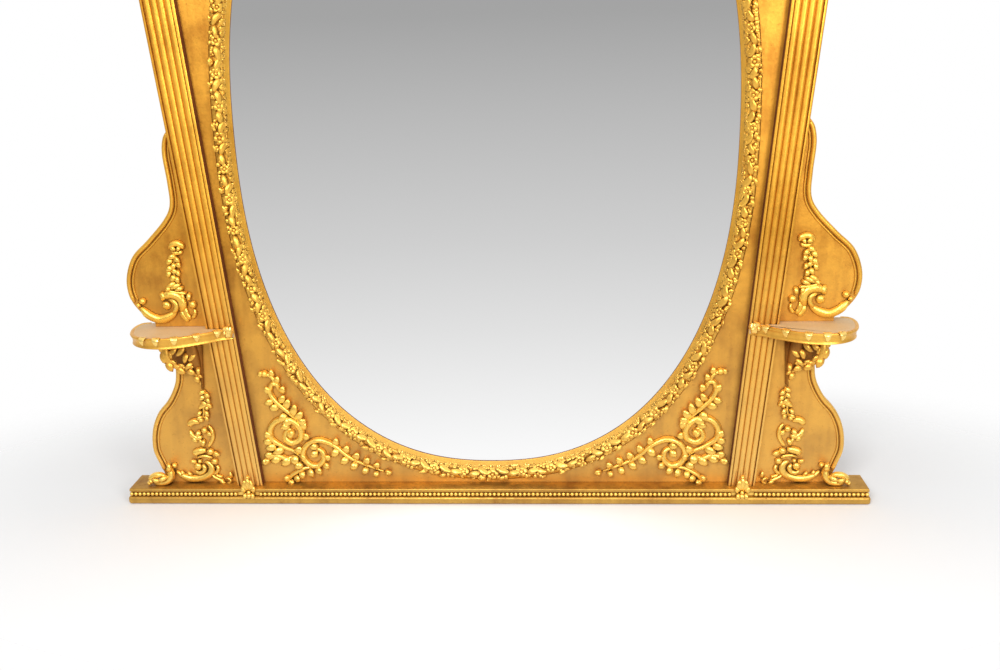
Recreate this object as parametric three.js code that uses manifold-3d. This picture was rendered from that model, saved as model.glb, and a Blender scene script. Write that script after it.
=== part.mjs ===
// Gilt overmantel pier mirror, built up the way a frame maker builds one: a pine back frame,
// an oval mirror plate, a pierced front panel, splayed reeded pilasters, scrolled side wings
// with bracket shelves, and cast composition ornament glued on top.
// Millimetres. X runs along the front, Z is up and the wall stands behind, towards +Y.
// The origin is the centre of the base's underside. Depths in this file are distances
// forward of the wall.
import * as THREE from 'three';
import { mergeVertices } from 'three/addons/utils/BufferGeometryUtils.js';
import Module from 'manifold-3d';

const wasm = await Module();
wasm.setup();

// ---- Driving dimensions ----

const seat = 0.3; // glue line between two pieces that touch

// Base
const baseWidth = 1372;
const baseDepth = 65;
const plinthHeight = 8;
const plinthChamfer = 2;
const boardHeight = 22;
const boardSetback = 2; // base board behind the plinth's edge
const boardEdge = 7; // square fillet under the beads
const beadSize = 8;
const beadBedDepth = 5; // recess that the bead moulding lies in
const nosingRound = 2;

// Mirror plate and its mouldings
const sightHalfHeight = 605;
const ovalFullness = 2.32; // 2 is an ellipse, more is squarer
const sightRise = 40; // base top up to the lowest point of the sight
const slipWidth = 6;
const slipProud = 2; // slip in front of the panel
const garlandWidth = 27;
const garlandGap = 20.9; // plain panel beside the garland, at the oval's middle height
const garlandRelief = 14;
const glassThickness = 4;
const glassLap = 8; // glass hidden behind the slip and panel all round

// Panel and back frame
const backSetback = 6; // room for the hanging plates behind the back frame
const backFrameThickness = 12.7;
const panelThickness = 12;
const panelMargin = 14; // plain panel above the garland
const glassClearance = 3; // free edge round the glass
const backboardThickness = 6;
const backboardLap = 12;
const backboardCount = 3;
const blockLength = 70; // glazing blocks
const blockWidth = 26;
const blockLap = 7;

// Pilasters
const pilasterFootInset = 253.8; // inner edge at the base, from the base's end
const pilasterFootWidth = 48.1;
const innerSplay = THREE.MathUtils.degToRad(4.52);
const outerSplay = THREE.MathUtils.degToRad(5.15);
const pilasterProud = 17.2;
const reedCount = 4;
const reedHeight = 4.5;
const capitalHeight = 44;
const capitalOverhang = 5;
const capitalProud = 8;

// Wings, shelves and corbels
const upperWingHeight = 352;
const wingThickness = 18;
const edgeWidth = 11;
const edgeRelief = 4;
const shelfTop = 338;
const shelfThickness = 16;
const shelfReach = 118; // front of the rim from the wall
const shelfOut = 134; // outer end of the rim beyond the pilaster
const shelfCornerDepth = 55; // where the straight outer end turns into the bow
const shelfBowOut = 61; // deepest point of the bow beyond the pilaster
const rimThickness = 5;
const rimHeight = 20;
const rimLip = 1; // rim above the shelf
const corbelDrop = 100;
const corbelSetback = 16; // corbel's nose behind the rim
const corbelWidth = 88;

// Entablature and crest
const friezeHeight = 42;
const friezeDepth = 54;
const friezeOverhang = 4;
const corniceHeight = 36;
const corniceDepth = 74;
const corniceOverhang = 24;
const pedimentHeight = 118;
const pedimentThickness = 18;
const pedimentSetback = 12; // behind the board, to the wall
const shellRadius = 62;
const shellLobes = 9;

// Composition ornament
const sprayRelief = 10;
const spandrelHeight = 225;
const spandrelRelief = 10;
const crestRelief = 20;
const palmetteHeight = 42;
const palmetteHalfWidth = 14;
const palmetteRelief = 7;
const voluteRadius = 18;
const voluteRelief = 20;

// Hanging fittings
const hangerDrop = 137.3; // eye of the hanger below the panel's top
const hangerInset = 52; // eye from the stile's inner edge
const plateWidth = 20;
const plateLength = 44;
const plateThickness = 1.5;
const eyeWidth = 5;
const eyeWall = 0.8;
const ringRadius = 14;
const wireRadius = 1.3;
const wireClearance = 0.5;
const screwShank = 1.5;
const screwHead = 3;
const screwLength = 10;
const firstScrew = 12; // lower screw above the eye
const screwPitch = 22;

// ---- Places worked out from the dimensions ----

const halfBase = baseWidth / 2;
const baseTop = plinthHeight + seat + boardHeight;
const backFrameFront = backSetback + backFrameThickness;
const panelBack = backFrameFront + seat;
const panelFront = panelBack + panelThickness;
const onPanel = panelFront + seat; // back of everything glued to the panel
const sightCentre = baseTop + sightRise + sightHalfHeight;
const panelTop = sightCentre + sightHalfHeight + slipWidth + garlandWidth + panelMargin;
const pilasterFront = onPanel + pilasterProud;
const capitalBottom = panelTop - capitalHeight;
const capitalFront = pilasterFront + capitalProud;
const wingBack = panelFront - wingThickness;
const shelfBottom = shelfTop - shelfThickness;
const lowerWingHeight = shelfBottom - seat - baseTop;
const friezeBottom = panelTop + seat;
const friezeTop = friezeBottom + friezeHeight;
const corniceBottom = friezeTop + seat;
const corniceTop = corniceBottom + corniceHeight;
const glassEdge = glassLap + glassClearance; // back frame's opening outside the sight
const openingBottom = sightCentre - sightHalfHeight - glassEdge;
const openingTop = sightCentre + sightHalfHeight + glassEdge;

const pilasterFootInner = halfBase - pilasterFootInset;
const pilasterInner = (height) => pilasterFootInner + (height - baseTop) * Math.tan(innerSplay);
const pilasterOuter = (height) =>
  pilasterFootInner + pilasterFootWidth + (height - baseTop) * Math.tan(outerSplay);
const garlandOut = slipWidth + seat + garlandWidth; // garland's outer edge from the sight
const sightHalfWidth = pilasterInner(sightCentre) - garlandGap - garlandOut;
const stileInner = sightHalfWidth + glassEdge;
const hangerX = stileInner + hangerInset;
const hangerHeight = panelTop - hangerDrop;
const pedimentHalfWidth = sightHalfWidth;

// ---- Materials ----

const finish = (color, roughness, metalness) =>
  new THREE.MeshStandardMaterial({ color, roughness, metalness });
const gilt = finish('#dca64c', 0.38, 0.85);
const brightGilt = finish('#ecc06a', 0.28, 0.9);
const agedGilt = finish('#8f7228', 0.55, 0.6);
const shelfFinish = finish('#cdaa86', 0.7, 0);
const pine = finish('#b98f5c', 0.8, 0);
const glass = finish('#d5d9da', 0.04, 1);
const brass = finish('#b99a4b', 0.4, 1);
const steel = finish('#6d6a64', 0.45, 1);

// ---- Solids ----

// A front view [x, z] given its thickness between two depths.
function board(shape, back, front, curveSegments = 4) {
  const geometry = new THREE.ExtrudeGeometry(shape, {
    depth: front - back,
    bevelEnabled: false,
    curveSegments,
  });
  geometry.translate(0, 0, back);
  geometry.rotateX(Math.PI / 2);
  return geometry;
}

// A plan view [x, -depth] given its thickness between two heights.
function slab(shape, bottom, top) {
  const geometry = new THREE.ExtrudeGeometry(shape, { depth: top - bottom, bevelEnabled: false });
  geometry.translate(0, 0, bottom);
  return geometry;
}

// A side view [depth, z] drawn out between two places along X.
function bar(shape, left, right, curveSegments = 6) {
  const geometry = new THREE.ExtrudeGeometry(shape, {
    depth: right - left,
    bevelEnabled: false,
    curveSegments,
  });
  geometry.translate(0, 0, -right);
  geometry.rotateX(Math.PI / 2);
  geometry.rotateZ(-Math.PI / 2);
  return geometry;
}

function polygon(points) {
  return new THREE.Shape(points.map(([x, z]) => new THREE.Vector2(x, z)));
}

function block(left, right, back, front, bottom, top) {
  const geometry = new THREE.BoxGeometry(right - left, front - back, top - bottom);
  geometry.translate((left + right) / 2, -(back + front) / 2, (bottom + top) / 2);
  return geometry;
}

// A round pin along the depth, from one depth to another.
function pin(x, height, radius, back, front, sides = 12) {
  const geometry = new THREE.CylinderGeometry(radius, radius, front - back, sides);
  geometry.translate(x, -(back + front) / 2, height);
  return geometry;
}

// Closed body from positions and triangles, turned so that its faces point out.
function closedBody(positions, triangles) {
  let volume = 0;
  const corner = (index) => new THREE.Vector3().fromArray(positions, index * 3);
  for (let i = 0; i < triangles.length; i += 3) {
    const [a, b, c] = [corner(triangles[i]), corner(triangles[i + 1]), corner(triangles[i + 2])];
    volume += a.dot(b.cross(c));
  }
  const geometry = new THREE.BufferGeometry();
  geometry.setAttribute('position', new THREE.Float32BufferAttribute(positions, 3));
  geometry.setIndex(volume < 0 ? triangles.reverse() : triangles);
  geometry.computeVertexNormals();
  return geometry;
}

// Closed body through plan outlines of [x, depth] points, one outline for each height.
function loft(levels) {
  const count = levels[0].outline.length;
  const plan = levels[0].outline.map(([x, depth]) => new THREE.Vector2(x, -depth));
  const forwardOrder = !THREE.ShapeUtils.isClockWise(plan);
  const order = (outline) => (forwardOrder ? outline : [...outline].reverse());
  const positions = [];
  for (const { outline, height } of levels) {
    for (const [x, depth] of order(outline)) {
      positions.push(x, -depth, height);
    }
  }
  const triangles = [];
  for (let level = 0; level < levels.length - 1; level += 1) {
    for (let k = 0; k < count; k += 1) {
      const a = level * count + k;
      const b = level * count + ((k + 1) % count);
      triangles.push(a, b, b + count, a, b + count, a + count);
    }
  }
  const contour = order(plan);
  const lastLevel = (levels.length - 1) * count;
  for (const [a, b, c] of THREE.ShapeUtils.triangulateShape([...contour], [])) {
    const face = THREE.ShapeUtils.area([contour[a], contour[b], contour[c]]) > 0 ? [a, b, c] : [a, c, b];
    triangles.push(face[0], face[2], face[1]);
    triangles.push(face[0] + lastLevel, face[1] + lastLevel, face[2] + lastLevel);
  }
  return closedBody(positions, triangles);
}

// A section of [offset, depth] points carried round a closed path of [x, z, nx, nz] points.
function closedMoulding(path, section) {
  const positions = [];
  const triangles = [];
  const count = section.length;
  path.forEach(([x, z, nx, nz], step) => {
    section.forEach(([offset, depth], k) => {
      positions.push(x + nx * offset, -depth, z + nz * offset);
      const a = step * count + k;
      const b = step * count + ((k + 1) % count);
      const c = ((step + 1) % path.length) * count + k;
      const d = ((step + 1) % path.length) * count + ((k + 1) % count);
      triangles.push(a, b, d, a, d, c);
    });
  });
  return closedBody(positions, triangles);
}

// A board with moulded front and ends: the profile lists [inset, height] from the bottom up.
function mouldedBoard(halfWidth, depth, profile) {
  return loft(
    profile.map(([inset, height]) => ({
      height,
      outline: [
        [-halfWidth + inset, 0],
        [halfWidth - inset, 0],
        [halfWidth - inset, depth - inset],
        [-halfWidth + inset, depth - inset],
      ],
    })),
  );
}

function toSolid(geometry) {
  const bare = new THREE.BufferGeometry();
  bare.setAttribute('position', geometry.getAttribute('position'));
  if (geometry.index) bare.setIndex(geometry.index);
  const merged = mergeVertices(bare, 1e-4);
  return new wasm.Manifold(
    new wasm.Mesh({
      numProp: 3,
      vertProperties: new Float32Array(merged.getAttribute('position').array),
      triVerts: new Uint32Array(merged.index.array),
    }),
  );
}

function fromSolid(solid) {
  const mesh = solid.getMesh();
  const geometry = new THREE.BufferGeometry();
  geometry.setAttribute('position', new THREE.Float32BufferAttribute(mesh.vertProperties, 3));
  geometry.setIndex([...mesh.triVerts]);
  geometry.computeVertexNormals();
  return geometry;
}

const join = (first, ...others) =>
  fromSolid(others.reduce((solid, other) => solid.add(toSolid(other)), toSolid(first)));
const cut = (first, ...others) =>
  fromSolid(others.reduce((solid, other) => solid.subtract(toSolid(other)), toSolid(first)));
const common = (first, second) => fromSolid(toSolid(first).intersect(toSolid(second)));

// ---- Curves ----

const quarterSteps = 14;

// Point of the oval at an angle, moved out square to the curve, with that direction.
function ovalPoint(angle, offset = 0) {
  const spread = (value) => Math.sign(value) * Math.abs(value) ** (2 / ovalFullness);
  const across = spread(Math.cos(angle));
  const up = spread(Math.sin(angle));
  const slope = (value) => Math.sign(value) * Math.abs(value) ** (ovalFullness - 1);
  const normal = new THREE.Vector2(slope(across) / sightHalfWidth, slope(up) / sightHalfHeight);
  normal.normalize();
  return [
    sightHalfWidth * across + normal.x * offset,
    sightCentre + sightHalfHeight * up + normal.y * offset,
    normal.x,
    normal.y,
  ];
}

const ovalPath = Array.from({ length: 4 * quarterSteps }, (_, step) =>
  ovalPoint((step / quarterSteps) * (Math.PI / 2)),
);
const ovalOutline = (offset) => ovalPath.map(([x, z, nx, nz]) => [x + nx * offset, z + nz * offset]);

// Points of a spiral that winds from its outside to its eye. Angles are in turns.
function spiral([x, z], outside, eye, start, turns, steps = 14) {
  return Array.from({ length: steps + 1 }, (_, step) => {
    const part = step / steps;
    const radius = outside + (eye - outside) * part;
    const angle = 2 * Math.PI * (start + turns * part);
    return [x + radius * Math.cos(angle), z + radius * Math.sin(angle)];
  });
}

// A ribbon along a path, wide in the middle and narrow at its ends, lobed if asked.
function ribbon(path, width, { steps = 24, lobes = 0, start = 0.35, end = 0.35 } = {}) {
  const curve = new THREE.SplineCurve(path.map(([x, z]) => new THREE.Vector2(x, z)));
  const left = [];
  const right = [];
  for (let step = 0; step <= steps; step += 1) {
    const part = step / steps;
    const point = curve.getPoint(part);
    const along = curve.getTangent(part);
    const ends = start + (end - start) * part;
    const swell = ends + (1 - ends) * Math.sin(Math.PI * part);
    const lobe = lobes ? 0.7 + 0.3 * Math.abs(Math.sin(Math.PI * lobes * part)) : 1;
    const half = (width / 2) * swell * lobe;
    left.push([point.x - along.y * half, point.y + along.x * half]);
    right.push([point.x + along.y * half, point.y - along.x * half]);
  }
  return polygon([...left, ...right.reverse()]);
}

// ---- Base ----

const beadBottom = plinthHeight + seat + boardEdge;
const beadTop = beadBottom + beadSize;
const bedInset = boardSetback + beadBedDepth;

function basePlinth() {
  return mouldedBoard(halfBase, baseDepth, [
    [plinthChamfer, 0],
    [0, plinthChamfer],
    [0, plinthHeight - plinthChamfer],
    [plinthChamfer, plinthHeight],
  ]);
}

function baseBoard() {
  return mouldedBoard(halfBase, baseDepth, [
    [boardSetback, plinthHeight + seat],
    [boardSetback, beadBottom - nosingRound],
    [boardSetback + nosingRound, beadBottom],
    [bedInset, beadBottom],
    [bedInset, beadTop + 2 * seat],
    [bedInset - nosingRound, beadTop + 2 * seat],
    [boardSetback + nosingRound / 2, beadTop + nosingRound],
    [boardSetback + nosingRound / 2, baseTop - nosingRound],
    [boardSetback + 2 * nosingRound, baseTop],
  ]);
}

function baseBeadMoulding() {
  const radius = (beadSize - seat) / 2;
  const centre = beadBottom + seat + radius;
  const profile = Array.from({ length: 7 }, (_, step) => {
    const angle = -Math.PI / 2 + (step * Math.PI) / 6;
    return [bedInset - radius * Math.cos(angle), centre + radius * Math.sin(angle)];
  });
  const inner = bedInset - seat;
  const core = block(
    -halfBase + inner, halfBase - inner, -seat, baseDepth - inner, 0, baseTop,
  );
  return cut(mouldedBoard(halfBase, baseDepth, profile), core);
}

// Fan of leaves at the pilaster's foot, lapping over the base's edge.
function palmette() {
  const centre = pilasterFootInner + pilasterFootWidth / 2;
  const bottom = beadBottom;
  const steps = 24;
  const outline = Array.from({ length: steps + 1 }, (_, step) => {
    const angle = Math.PI * (step / steps);
    const lobe = 0.86 + 0.14 * Math.abs(Math.sin(3.5 * angle));
    return [
      centre + palmetteHalfWidth * lobe * Math.cos(angle),
      bottom + palmetteHeight * (0.45 + 0.55 * lobe * Math.sin(angle)),
    ];
  });
  outline.push([centre - palmetteHalfWidth / 3, bottom], [centre + palmetteHalfWidth / 3, bottom]);
  const front = baseDepth + palmetteRelief;
  const fan = board(polygon(outline), pilasterFront + seat, front);
  const base = block(0, halfBase, 0, baseDepth - boardSetback + seat, 0, baseTop + seat);
  return cut(fan, base);
}

// Leaf scroll that stands on the base against the wing's foot.
function voluteFoot() {
  const x = wingPoint(lowerWing[lowerWing.length - 1], onBase)[0] + voluteRadius * 0.7;
  const z = baseTop + seat + voluteRadius;
  const width = voluteRadius * 0.62;
  const path = spiral([x, z], voluteRadius - width / 2, voluteRadius * 0.3, 0.45, -0.95, 14);
  const back = panelFront + edgeRelief + seat;
  const scroll = board(ribbon(path, width, { steps: 22, start: 0.8, end: 0.9 }), back, back + voluteRelief);
  const eye = pin(x, z, voluteRadius * 0.4, back, back + voluteRelief * 0.85);
  return join(scroll, eye);
}

// ---- Panel, slip, garland and glass ----

// One quarter of the front panel. The centre seams are glue joints.
function panelQuarter(up) {
  const seam = seat / 2;
  const edge = slipWidth + seat;
  const outline = [];
  for (let step = 0; step <= quarterSteps; step += 1) {
    const angle = ((step - quarterSteps * (up ? 0 : 1)) / quarterSteps) * (Math.PI / 2);
    const [x, z] = ovalPoint(angle, edge);
    outline.push([
      Math.max(x, seam),
      up ? Math.max(z, sightCentre + seam) : Math.min(z, sightCentre - seam),
    ]);
  }
  if (!up) outline.reverse();
  const far = up ? panelTop : baseTop + seat;
  const near = sightCentre + (up ? seam : -seam);
  outline.push([seam, far], [pilasterOuter(far), far], [pilasterOuter(near), near]);
  return board(polygon(outline), panelBack, panelFront);
}

function slipMoulding() {
  return closedMoulding(ovalPath, [
    [0, panelBack],
    [slipWidth, panelBack],
    [slipWidth, panelFront + slipProud * 0.6],
    [slipWidth * 0.6, panelFront + slipProud],
    [0, panelFront - slipProud],
  ]);
}

function garlandMoulding() {
  const inner = slipWidth + seat;
  const section = Array.from({ length: 7 }, (_, step) => {
    const angle = (step * Math.PI) / 6;
    const offset = inner + (garlandWidth / 2) * (1 - Math.cos(angle));
    return [offset, onPanel + garlandRelief * Math.sin(angle)];
  });
  return closedMoulding(ovalPath, section);
}

function mirrorPlate() {
  const front = panelBack - seat;
  return board(polygon(ovalOutline(glassLap)), front - glassThickness, front);
}

// Corner block glued behind the panel, lapped over the back of the glass.
function glazingBlock() {
  const angle = Math.PI / 4;
  const [x, z, nx, nz] = ovalPoint(angle, glassLap);
  const front = panelBack - seat;
  const behind = backSetback + backboardThickness + seat;
  const piece = (inner, back, forward) => {
    const geometry = block(inner, blockWidth, back, forward, -blockLength / 2, blockLength / 2);
    geometry.rotateY(-Math.atan2(nz, nx));
    geometry.translate(x, 0, z);
    return geometry;
  };
  const lapBack = front - glassThickness - seat;
  return join(piece(seat, behind, front), piece(-blockLap, behind, lapBack));
}

// ---- Back frame ----

const screwHeights = [hangerHeight + firstScrew, hangerHeight + firstScrew + screwPitch];

function backStile() {
  const bottom = baseTop + seat;
  const outline = [
    [stileInner, bottom],
    [pilasterOuter(bottom), bottom],
    [pilasterOuter(panelTop), panelTop],
    [stileInner, panelTop],
  ];
  const stile = board(polygon(outline), backSetback, backFrameFront);
  const rebate = block(
    0,
    stileInner + backboardLap,
    0,
    backSetback + backboardThickness + seat,
    openingBottom - backboardLap,
    openingTop + backboardLap,
  );
  const holes = screwHeights.map((height) =>
    pin(hangerX, height, screwShank + seat, 0, backSetback - plateThickness + screwLength + seat));
  return cut(stile, rebate, ...holes);
}

// Rail between the stiles, rebated at the back for the backboards' ends.
function backRail(bottom, top, rebateBottom, rebateTop) {
  const reach = stileInner - seat;
  const rail = block(-reach, reach, backSetback, backFrameFront, bottom, top);
  const rebate = block(
    -reach - 1, reach + 1, 0, backSetback + backboardThickness + seat, rebateBottom, rebateTop,
  );
  return cut(rail, rebate);
}

function backboard(index) {
  const reach = stileInner + backboardLap - seat;
  const pitch = (2 * reach) / backboardCount;
  const left = -reach + index * pitch;
  return block(
    left + seat / 2,
    left + pitch - seat / 2,
    backSetback,
    backSetback + backboardThickness,
    openingBottom - backboardLap + seat,
    openingTop + backboardLap - seat,
  );
}

// ---- Pilasters and capitals ----

function pilasterOutline(height) {
  const inner = pilasterInner(height);
  const width = pilasterOuter(height) - inner;
  const perReed = 6;
  const steps = reedCount * perReed;
  const fillet = 0.05;
  const outline = [[inner, onPanel]];
  outline.push([inner, pilasterFront - reedHeight]);
  for (let step = 0; step <= steps; step += 1) {
    const across = fillet + (1 - 2 * fillet) * (step / steps);
    const rise = Math.sqrt(Math.abs(Math.sin((Math.PI * step) / perReed)));
    outline.push([inner + width * across, pilasterFront - reedHeight * (1 - rise)]);
  }
  outline.push([inner + width, pilasterFront - reedHeight]);
  outline.push([inner + width, onPanel]);
  return outline;
}

function pilaster() {
  const heights = [baseTop + seat, capitalBottom - seat];
  return loft(heights.map((height) => ({ height, outline: pilasterOutline(height) })));
}

function capital() {
  const inner = pilasterInner(capitalBottom) - capitalOverhang;
  const outer = pilasterOuter(capitalBottom) + capitalOverhang;
  const levels = [
    [capitalOverhang, 0],
    [capitalOverhang, 0.16],
    [capitalOverhang * 0.3, 0.2],
    [capitalOverhang * 0.3, 0.28],
    [capitalOverhang, 0.34],
    [capitalOverhang * 0.5, 0.7],
    [0, 0.82],
    [0, 1],
  ];
  return loft(
    levels.map(([inset, part]) => ({
      height: capitalBottom + capitalHeight * part,
      outline: [
        [inner + inset, onPanel],
        [outer - inset, onPanel],
        [outer - inset, capitalFront - inset],
        [inner + inset, capitalFront - inset],
      ],
    })),
  );
}

// ---- Wings ----

// Outlines from the top down as [beyond the pilaster, above the seat], in percent of the
// wing's height.
const upperWing = [
  [0.6, 100], [3.7, 96], [5.7, 88.1], [6, 74.4], [7.1, 63.1], [11.9, 55.4], [22.2, 45.5],
  [31.8, 36.9], [37.2, 25.6], [37.5, 15.3], [33.5, 7.7], [27.3, 2],
];
const lowerWing = [
  [25.4, 89.9], [26.4, 77.2], [28.8, 67.9], [35.3, 57.3], [43.9, 48], [49.8, 36.4],
  [52.2, 23.3], [50.1, 13], [47.7, 4.8],
];
const onShelf = { foot: shelfTop, unit: upperWingHeight / 100 };
const onBase = { foot: baseTop, unit: lowerWingHeight / 100 };

function wingPoint([out, up], { foot, unit }) {
  const height = foot + up * unit;
  return [pilasterOuter(height) + seat + out * unit, height];
}

function wingCurve(points, place) {
  return new THREE.SplineCurve(points.map((point) => new THREE.Vector2(...wingPoint(point, place))));
}

// A wing board with its raised moulded edge along part of the outline.
function wing(points, place, top, edgeFrom, edgeTo) {
  const curve = wingCurve(points, place);
  const bottom = place.foot;
  const steps = 24;
  const outline = curve.getPoints(steps).map(({ x, y }) => [x, Math.min(y, top)]);
  const last = outline[outline.length - 1];
  const first = outline[0];
  outline.unshift([first[0], top]);
  outline.push([last[0], bottom + seat]);
  outline.push([pilasterOuter(bottom) + seat, bottom + seat]);
  outline.push([pilasterOuter(top) + seat, top]);
  const face = board(polygon(outline), wingBack, panelFront);
  const outer = [];
  const inner = [];
  for (let step = 0; step <= steps; step += 1) {
    const part = edgeFrom + (edgeTo - edgeFrom) * (step / steps);
    const point = curve.getPoint(part);
    const along = curve.getTangent(part);
    outer.push([point.x, point.y]);
    inner.push([point.x + along.y * edgeWidth, point.y - along.x * edgeWidth]);
  }
  const clear = (x, z) => [Math.max(x, pilasterOuter(z) + seat), z];
  const strip = [...outer, ...inner.reverse()].map(([x, z]) => clear(x, z));
  const edge = board(polygon(strip), panelFront - 1, panelFront + edgeRelief);
  return join(face, edge);
}

// ---- Shelves and corbels ----

const atShelf = pilasterOuter(shelfTop);

// Plan of the shelf's outer edge, moved in square to itself.
function shelfEdge(inset) {
  const outer = atShelf + shelfOut;
  const bow = atShelf + shelfBowOut;
  const tip = pilasterInner(shelfTop);
  const corner = new THREE.CubicBezierCurve(
    new THREE.Vector2(outer, shelfCornerDepth),
    new THREE.Vector2(outer, shelfCornerDepth + (shelfReach - shelfCornerDepth) * 0.63),
    new THREE.Vector2(bow + (outer - bow) * 0.6, shelfReach),
    new THREE.Vector2(bow, shelfReach),
  );
  const sweep = new THREE.CubicBezierCurve(
    new THREE.Vector2(bow, shelfReach),
    new THREE.Vector2(bow - (bow - tip) * 0.34, shelfReach),
    new THREE.Vector2(tip + (bow - tip) * 0.35, shelfReach * 0.78),
    new THREE.Vector2(tip, pilasterFront + seat),
  );
  const points = [[outer - inset, wingBack]];
  for (const [curve, first] of [[corner, 0], [sweep, 1]]) {
    for (let step = first; step <= 12; step += 1) {
      const point = curve.getPoint(step / 12);
      const along = curve.getTangent(step / 12);
      points.push([point.x - along.y * inset, point.y + along.x * inset]);
    }
  }
  return points;
}

const pilasterGap = () =>
  block(0, atShelf + seat, 0, pilasterFront + seat, 0, panelTop);
const planOf = (points) => polygon(points.map(([x, depth]) => [x, -depth]));

// Everything inside the rim, between two heights.
function insideRim(bottom, top) {
  const edge = shelfEdge(rimThickness + seat);
  const last = edge[edge.length - 1];
  return slab(planOf([...edge, [last[0], wingBack]]), bottom, top);
}

const shelf = () => cut(insideRim(shelfBottom, shelfTop), pilasterGap());

function shelfRim() {
  const outside = shelfEdge(0);
  const inside = shelfEdge(rimThickness).reverse();
  const top = shelfTop + rimLip;
  return cut(slab(planOf([...outside, ...inside]), top - rimHeight, top), pilasterGap());
}

// Leaf bracket: the side view gives its ogee, the front view gives its taper.
function corbel() {
  const top = shelfBottom - seat;
  const bottom = top - corbelDrop;
  const nose = shelfReach - rimThickness - corbelSetback;
  const back = onPanel;
  const side = new THREE.Shape();
  side.moveTo(back, top);
  side.lineTo(nose, top);
  side.bezierCurveTo(nose + 4, top - corbelDrop * 0.28, nose - 30, top - corbelDrop * 0.42,
    back + 22, top - corbelDrop * 0.55);
  side.bezierCurveTo(back + 8, top - corbelDrop * 0.66, back + 8, bottom + 8, back, bottom);
  const inner = pilasterOuter(top) + seat;
  const front = new THREE.Shape();
  front.moveTo(inner, top);
  front.lineTo(inner + corbelWidth, top);
  front.bezierCurveTo(inner + corbelWidth, top - corbelDrop * 0.3, inner + corbelWidth * 0.8,
    top - corbelDrop * 0.45, inner + corbelWidth * 0.6, top - corbelDrop * 0.58);
  front.bezierCurveTo(inner + corbelWidth * 0.5, top - corbelDrop * 0.72,
    inner + corbelWidth * 0.3, bottom, inner + corbelWidth * 0.2, bottom);
  front.lineTo(inner, bottom);
  const bracket = common(
    bar(side, inner, inner + corbelWidth, 6),
    board(front, back, nose + 10, 6),
  );
  return common(bracket, insideRim(bottom, shelfTop));
}

// ---- Composition ornament ----

const sprayFront = onPanel + sprayRelief;

// Sprays follow points given as the wing's outline is.
const onWing = (points, place) => points.map((point) => wingPoint(point, place));

function upperSpray() {
  const { unit } = onShelf;
  const stem = onWing([[10.2, 42.6], [8.5, 36.4], [6.8, 29.5], [6.5, 22.7], [8.5, 17], [12.5, 13.1]], onShelf);
  const eye = wingPoint([12.5, 8], onShelf);
  const swirl = spiral(eye, 5.1 * unit, 1.7 * unit, 0.25, -1, 16);
  const crescent = onWing([[11.9, 4.5], [18.8, 3.4], [26.1, 4.8], [30.7, 8], [33.5, 12.5]], onShelf);
  return join(
    board(ribbon(stem, 4.8 * unit, { lobes: 4, steps: 16, end: 0.6 }), onPanel, sprayFront),
    board(ribbon(swirl, 2.6 * unit, { steps: 18, start: 0.9, end: 0.7 }), onPanel, sprayFront),
    board(ribbon(crescent, 3.7 * unit, { steps: 10, start: 0.5 }), onPanel, sprayFront),
    pin(...wingPoint([10.5, 42], onShelf), 2.8 * unit, onPanel, sprayFront),
    pin(...eye, 2.8 * unit, onPanel, sprayFront),
  );
}

function lowerSpray() {
  const { unit } = onBase;
  const stem = onWing([[11.7, 60.4], [13, 54.2], [14.4, 47.4], [15.1, 40.5], [15.8, 34.3]], onBase);
  const middle = onWing([[15.8, 35.7], [13.7, 28.1], [15.8, 21.3], [19.9, 15.1]], onBase);
  const eye = wingPoint([19.9, 9.6], onBase);
  const swirl = spiral(eye, 6.2 * unit, 2.1 * unit, 0.25, -1, 16);
  const crescent = onWing([[19.2, 5.8], [26.8, 3.1], [33.6, 3.8], [38.4, 5.8]], onBase);
  const branch = onWing([[18.5, 6.9], [11.7, 4.1], [5.8, 5.1], [2.1, 8.9]], onBase);
  return join(
    board(ribbon(stem, 6.2 * unit, { lobes: 3, steps: 12, end: 0.7 }), onPanel, sprayFront),
    board(ribbon(middle, 5.5 * unit, { lobes: 2, steps: 8, start: 0.7, end: 0.6 }), onPanel, sprayFront),
    board(ribbon(swirl, 3.1 * unit, { steps: 18, start: 0.9, end: 0.7 }), onPanel, sprayFront),
    board(ribbon(crescent, 3.4 * unit, { steps: 8, start: 0.6 }), onPanel, sprayFront),
    board(ribbon(branch, 3.1 * unit, { steps: 8, start: 0.6 }), onPanel, sprayFront),
    pin(...wingPoint([17.8, 34.3], onBase), 4.8 * unit, onPanel, sprayFront),
    pin(...eye, 3.4 * unit, onPanel, sprayFront),
  );
}

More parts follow.
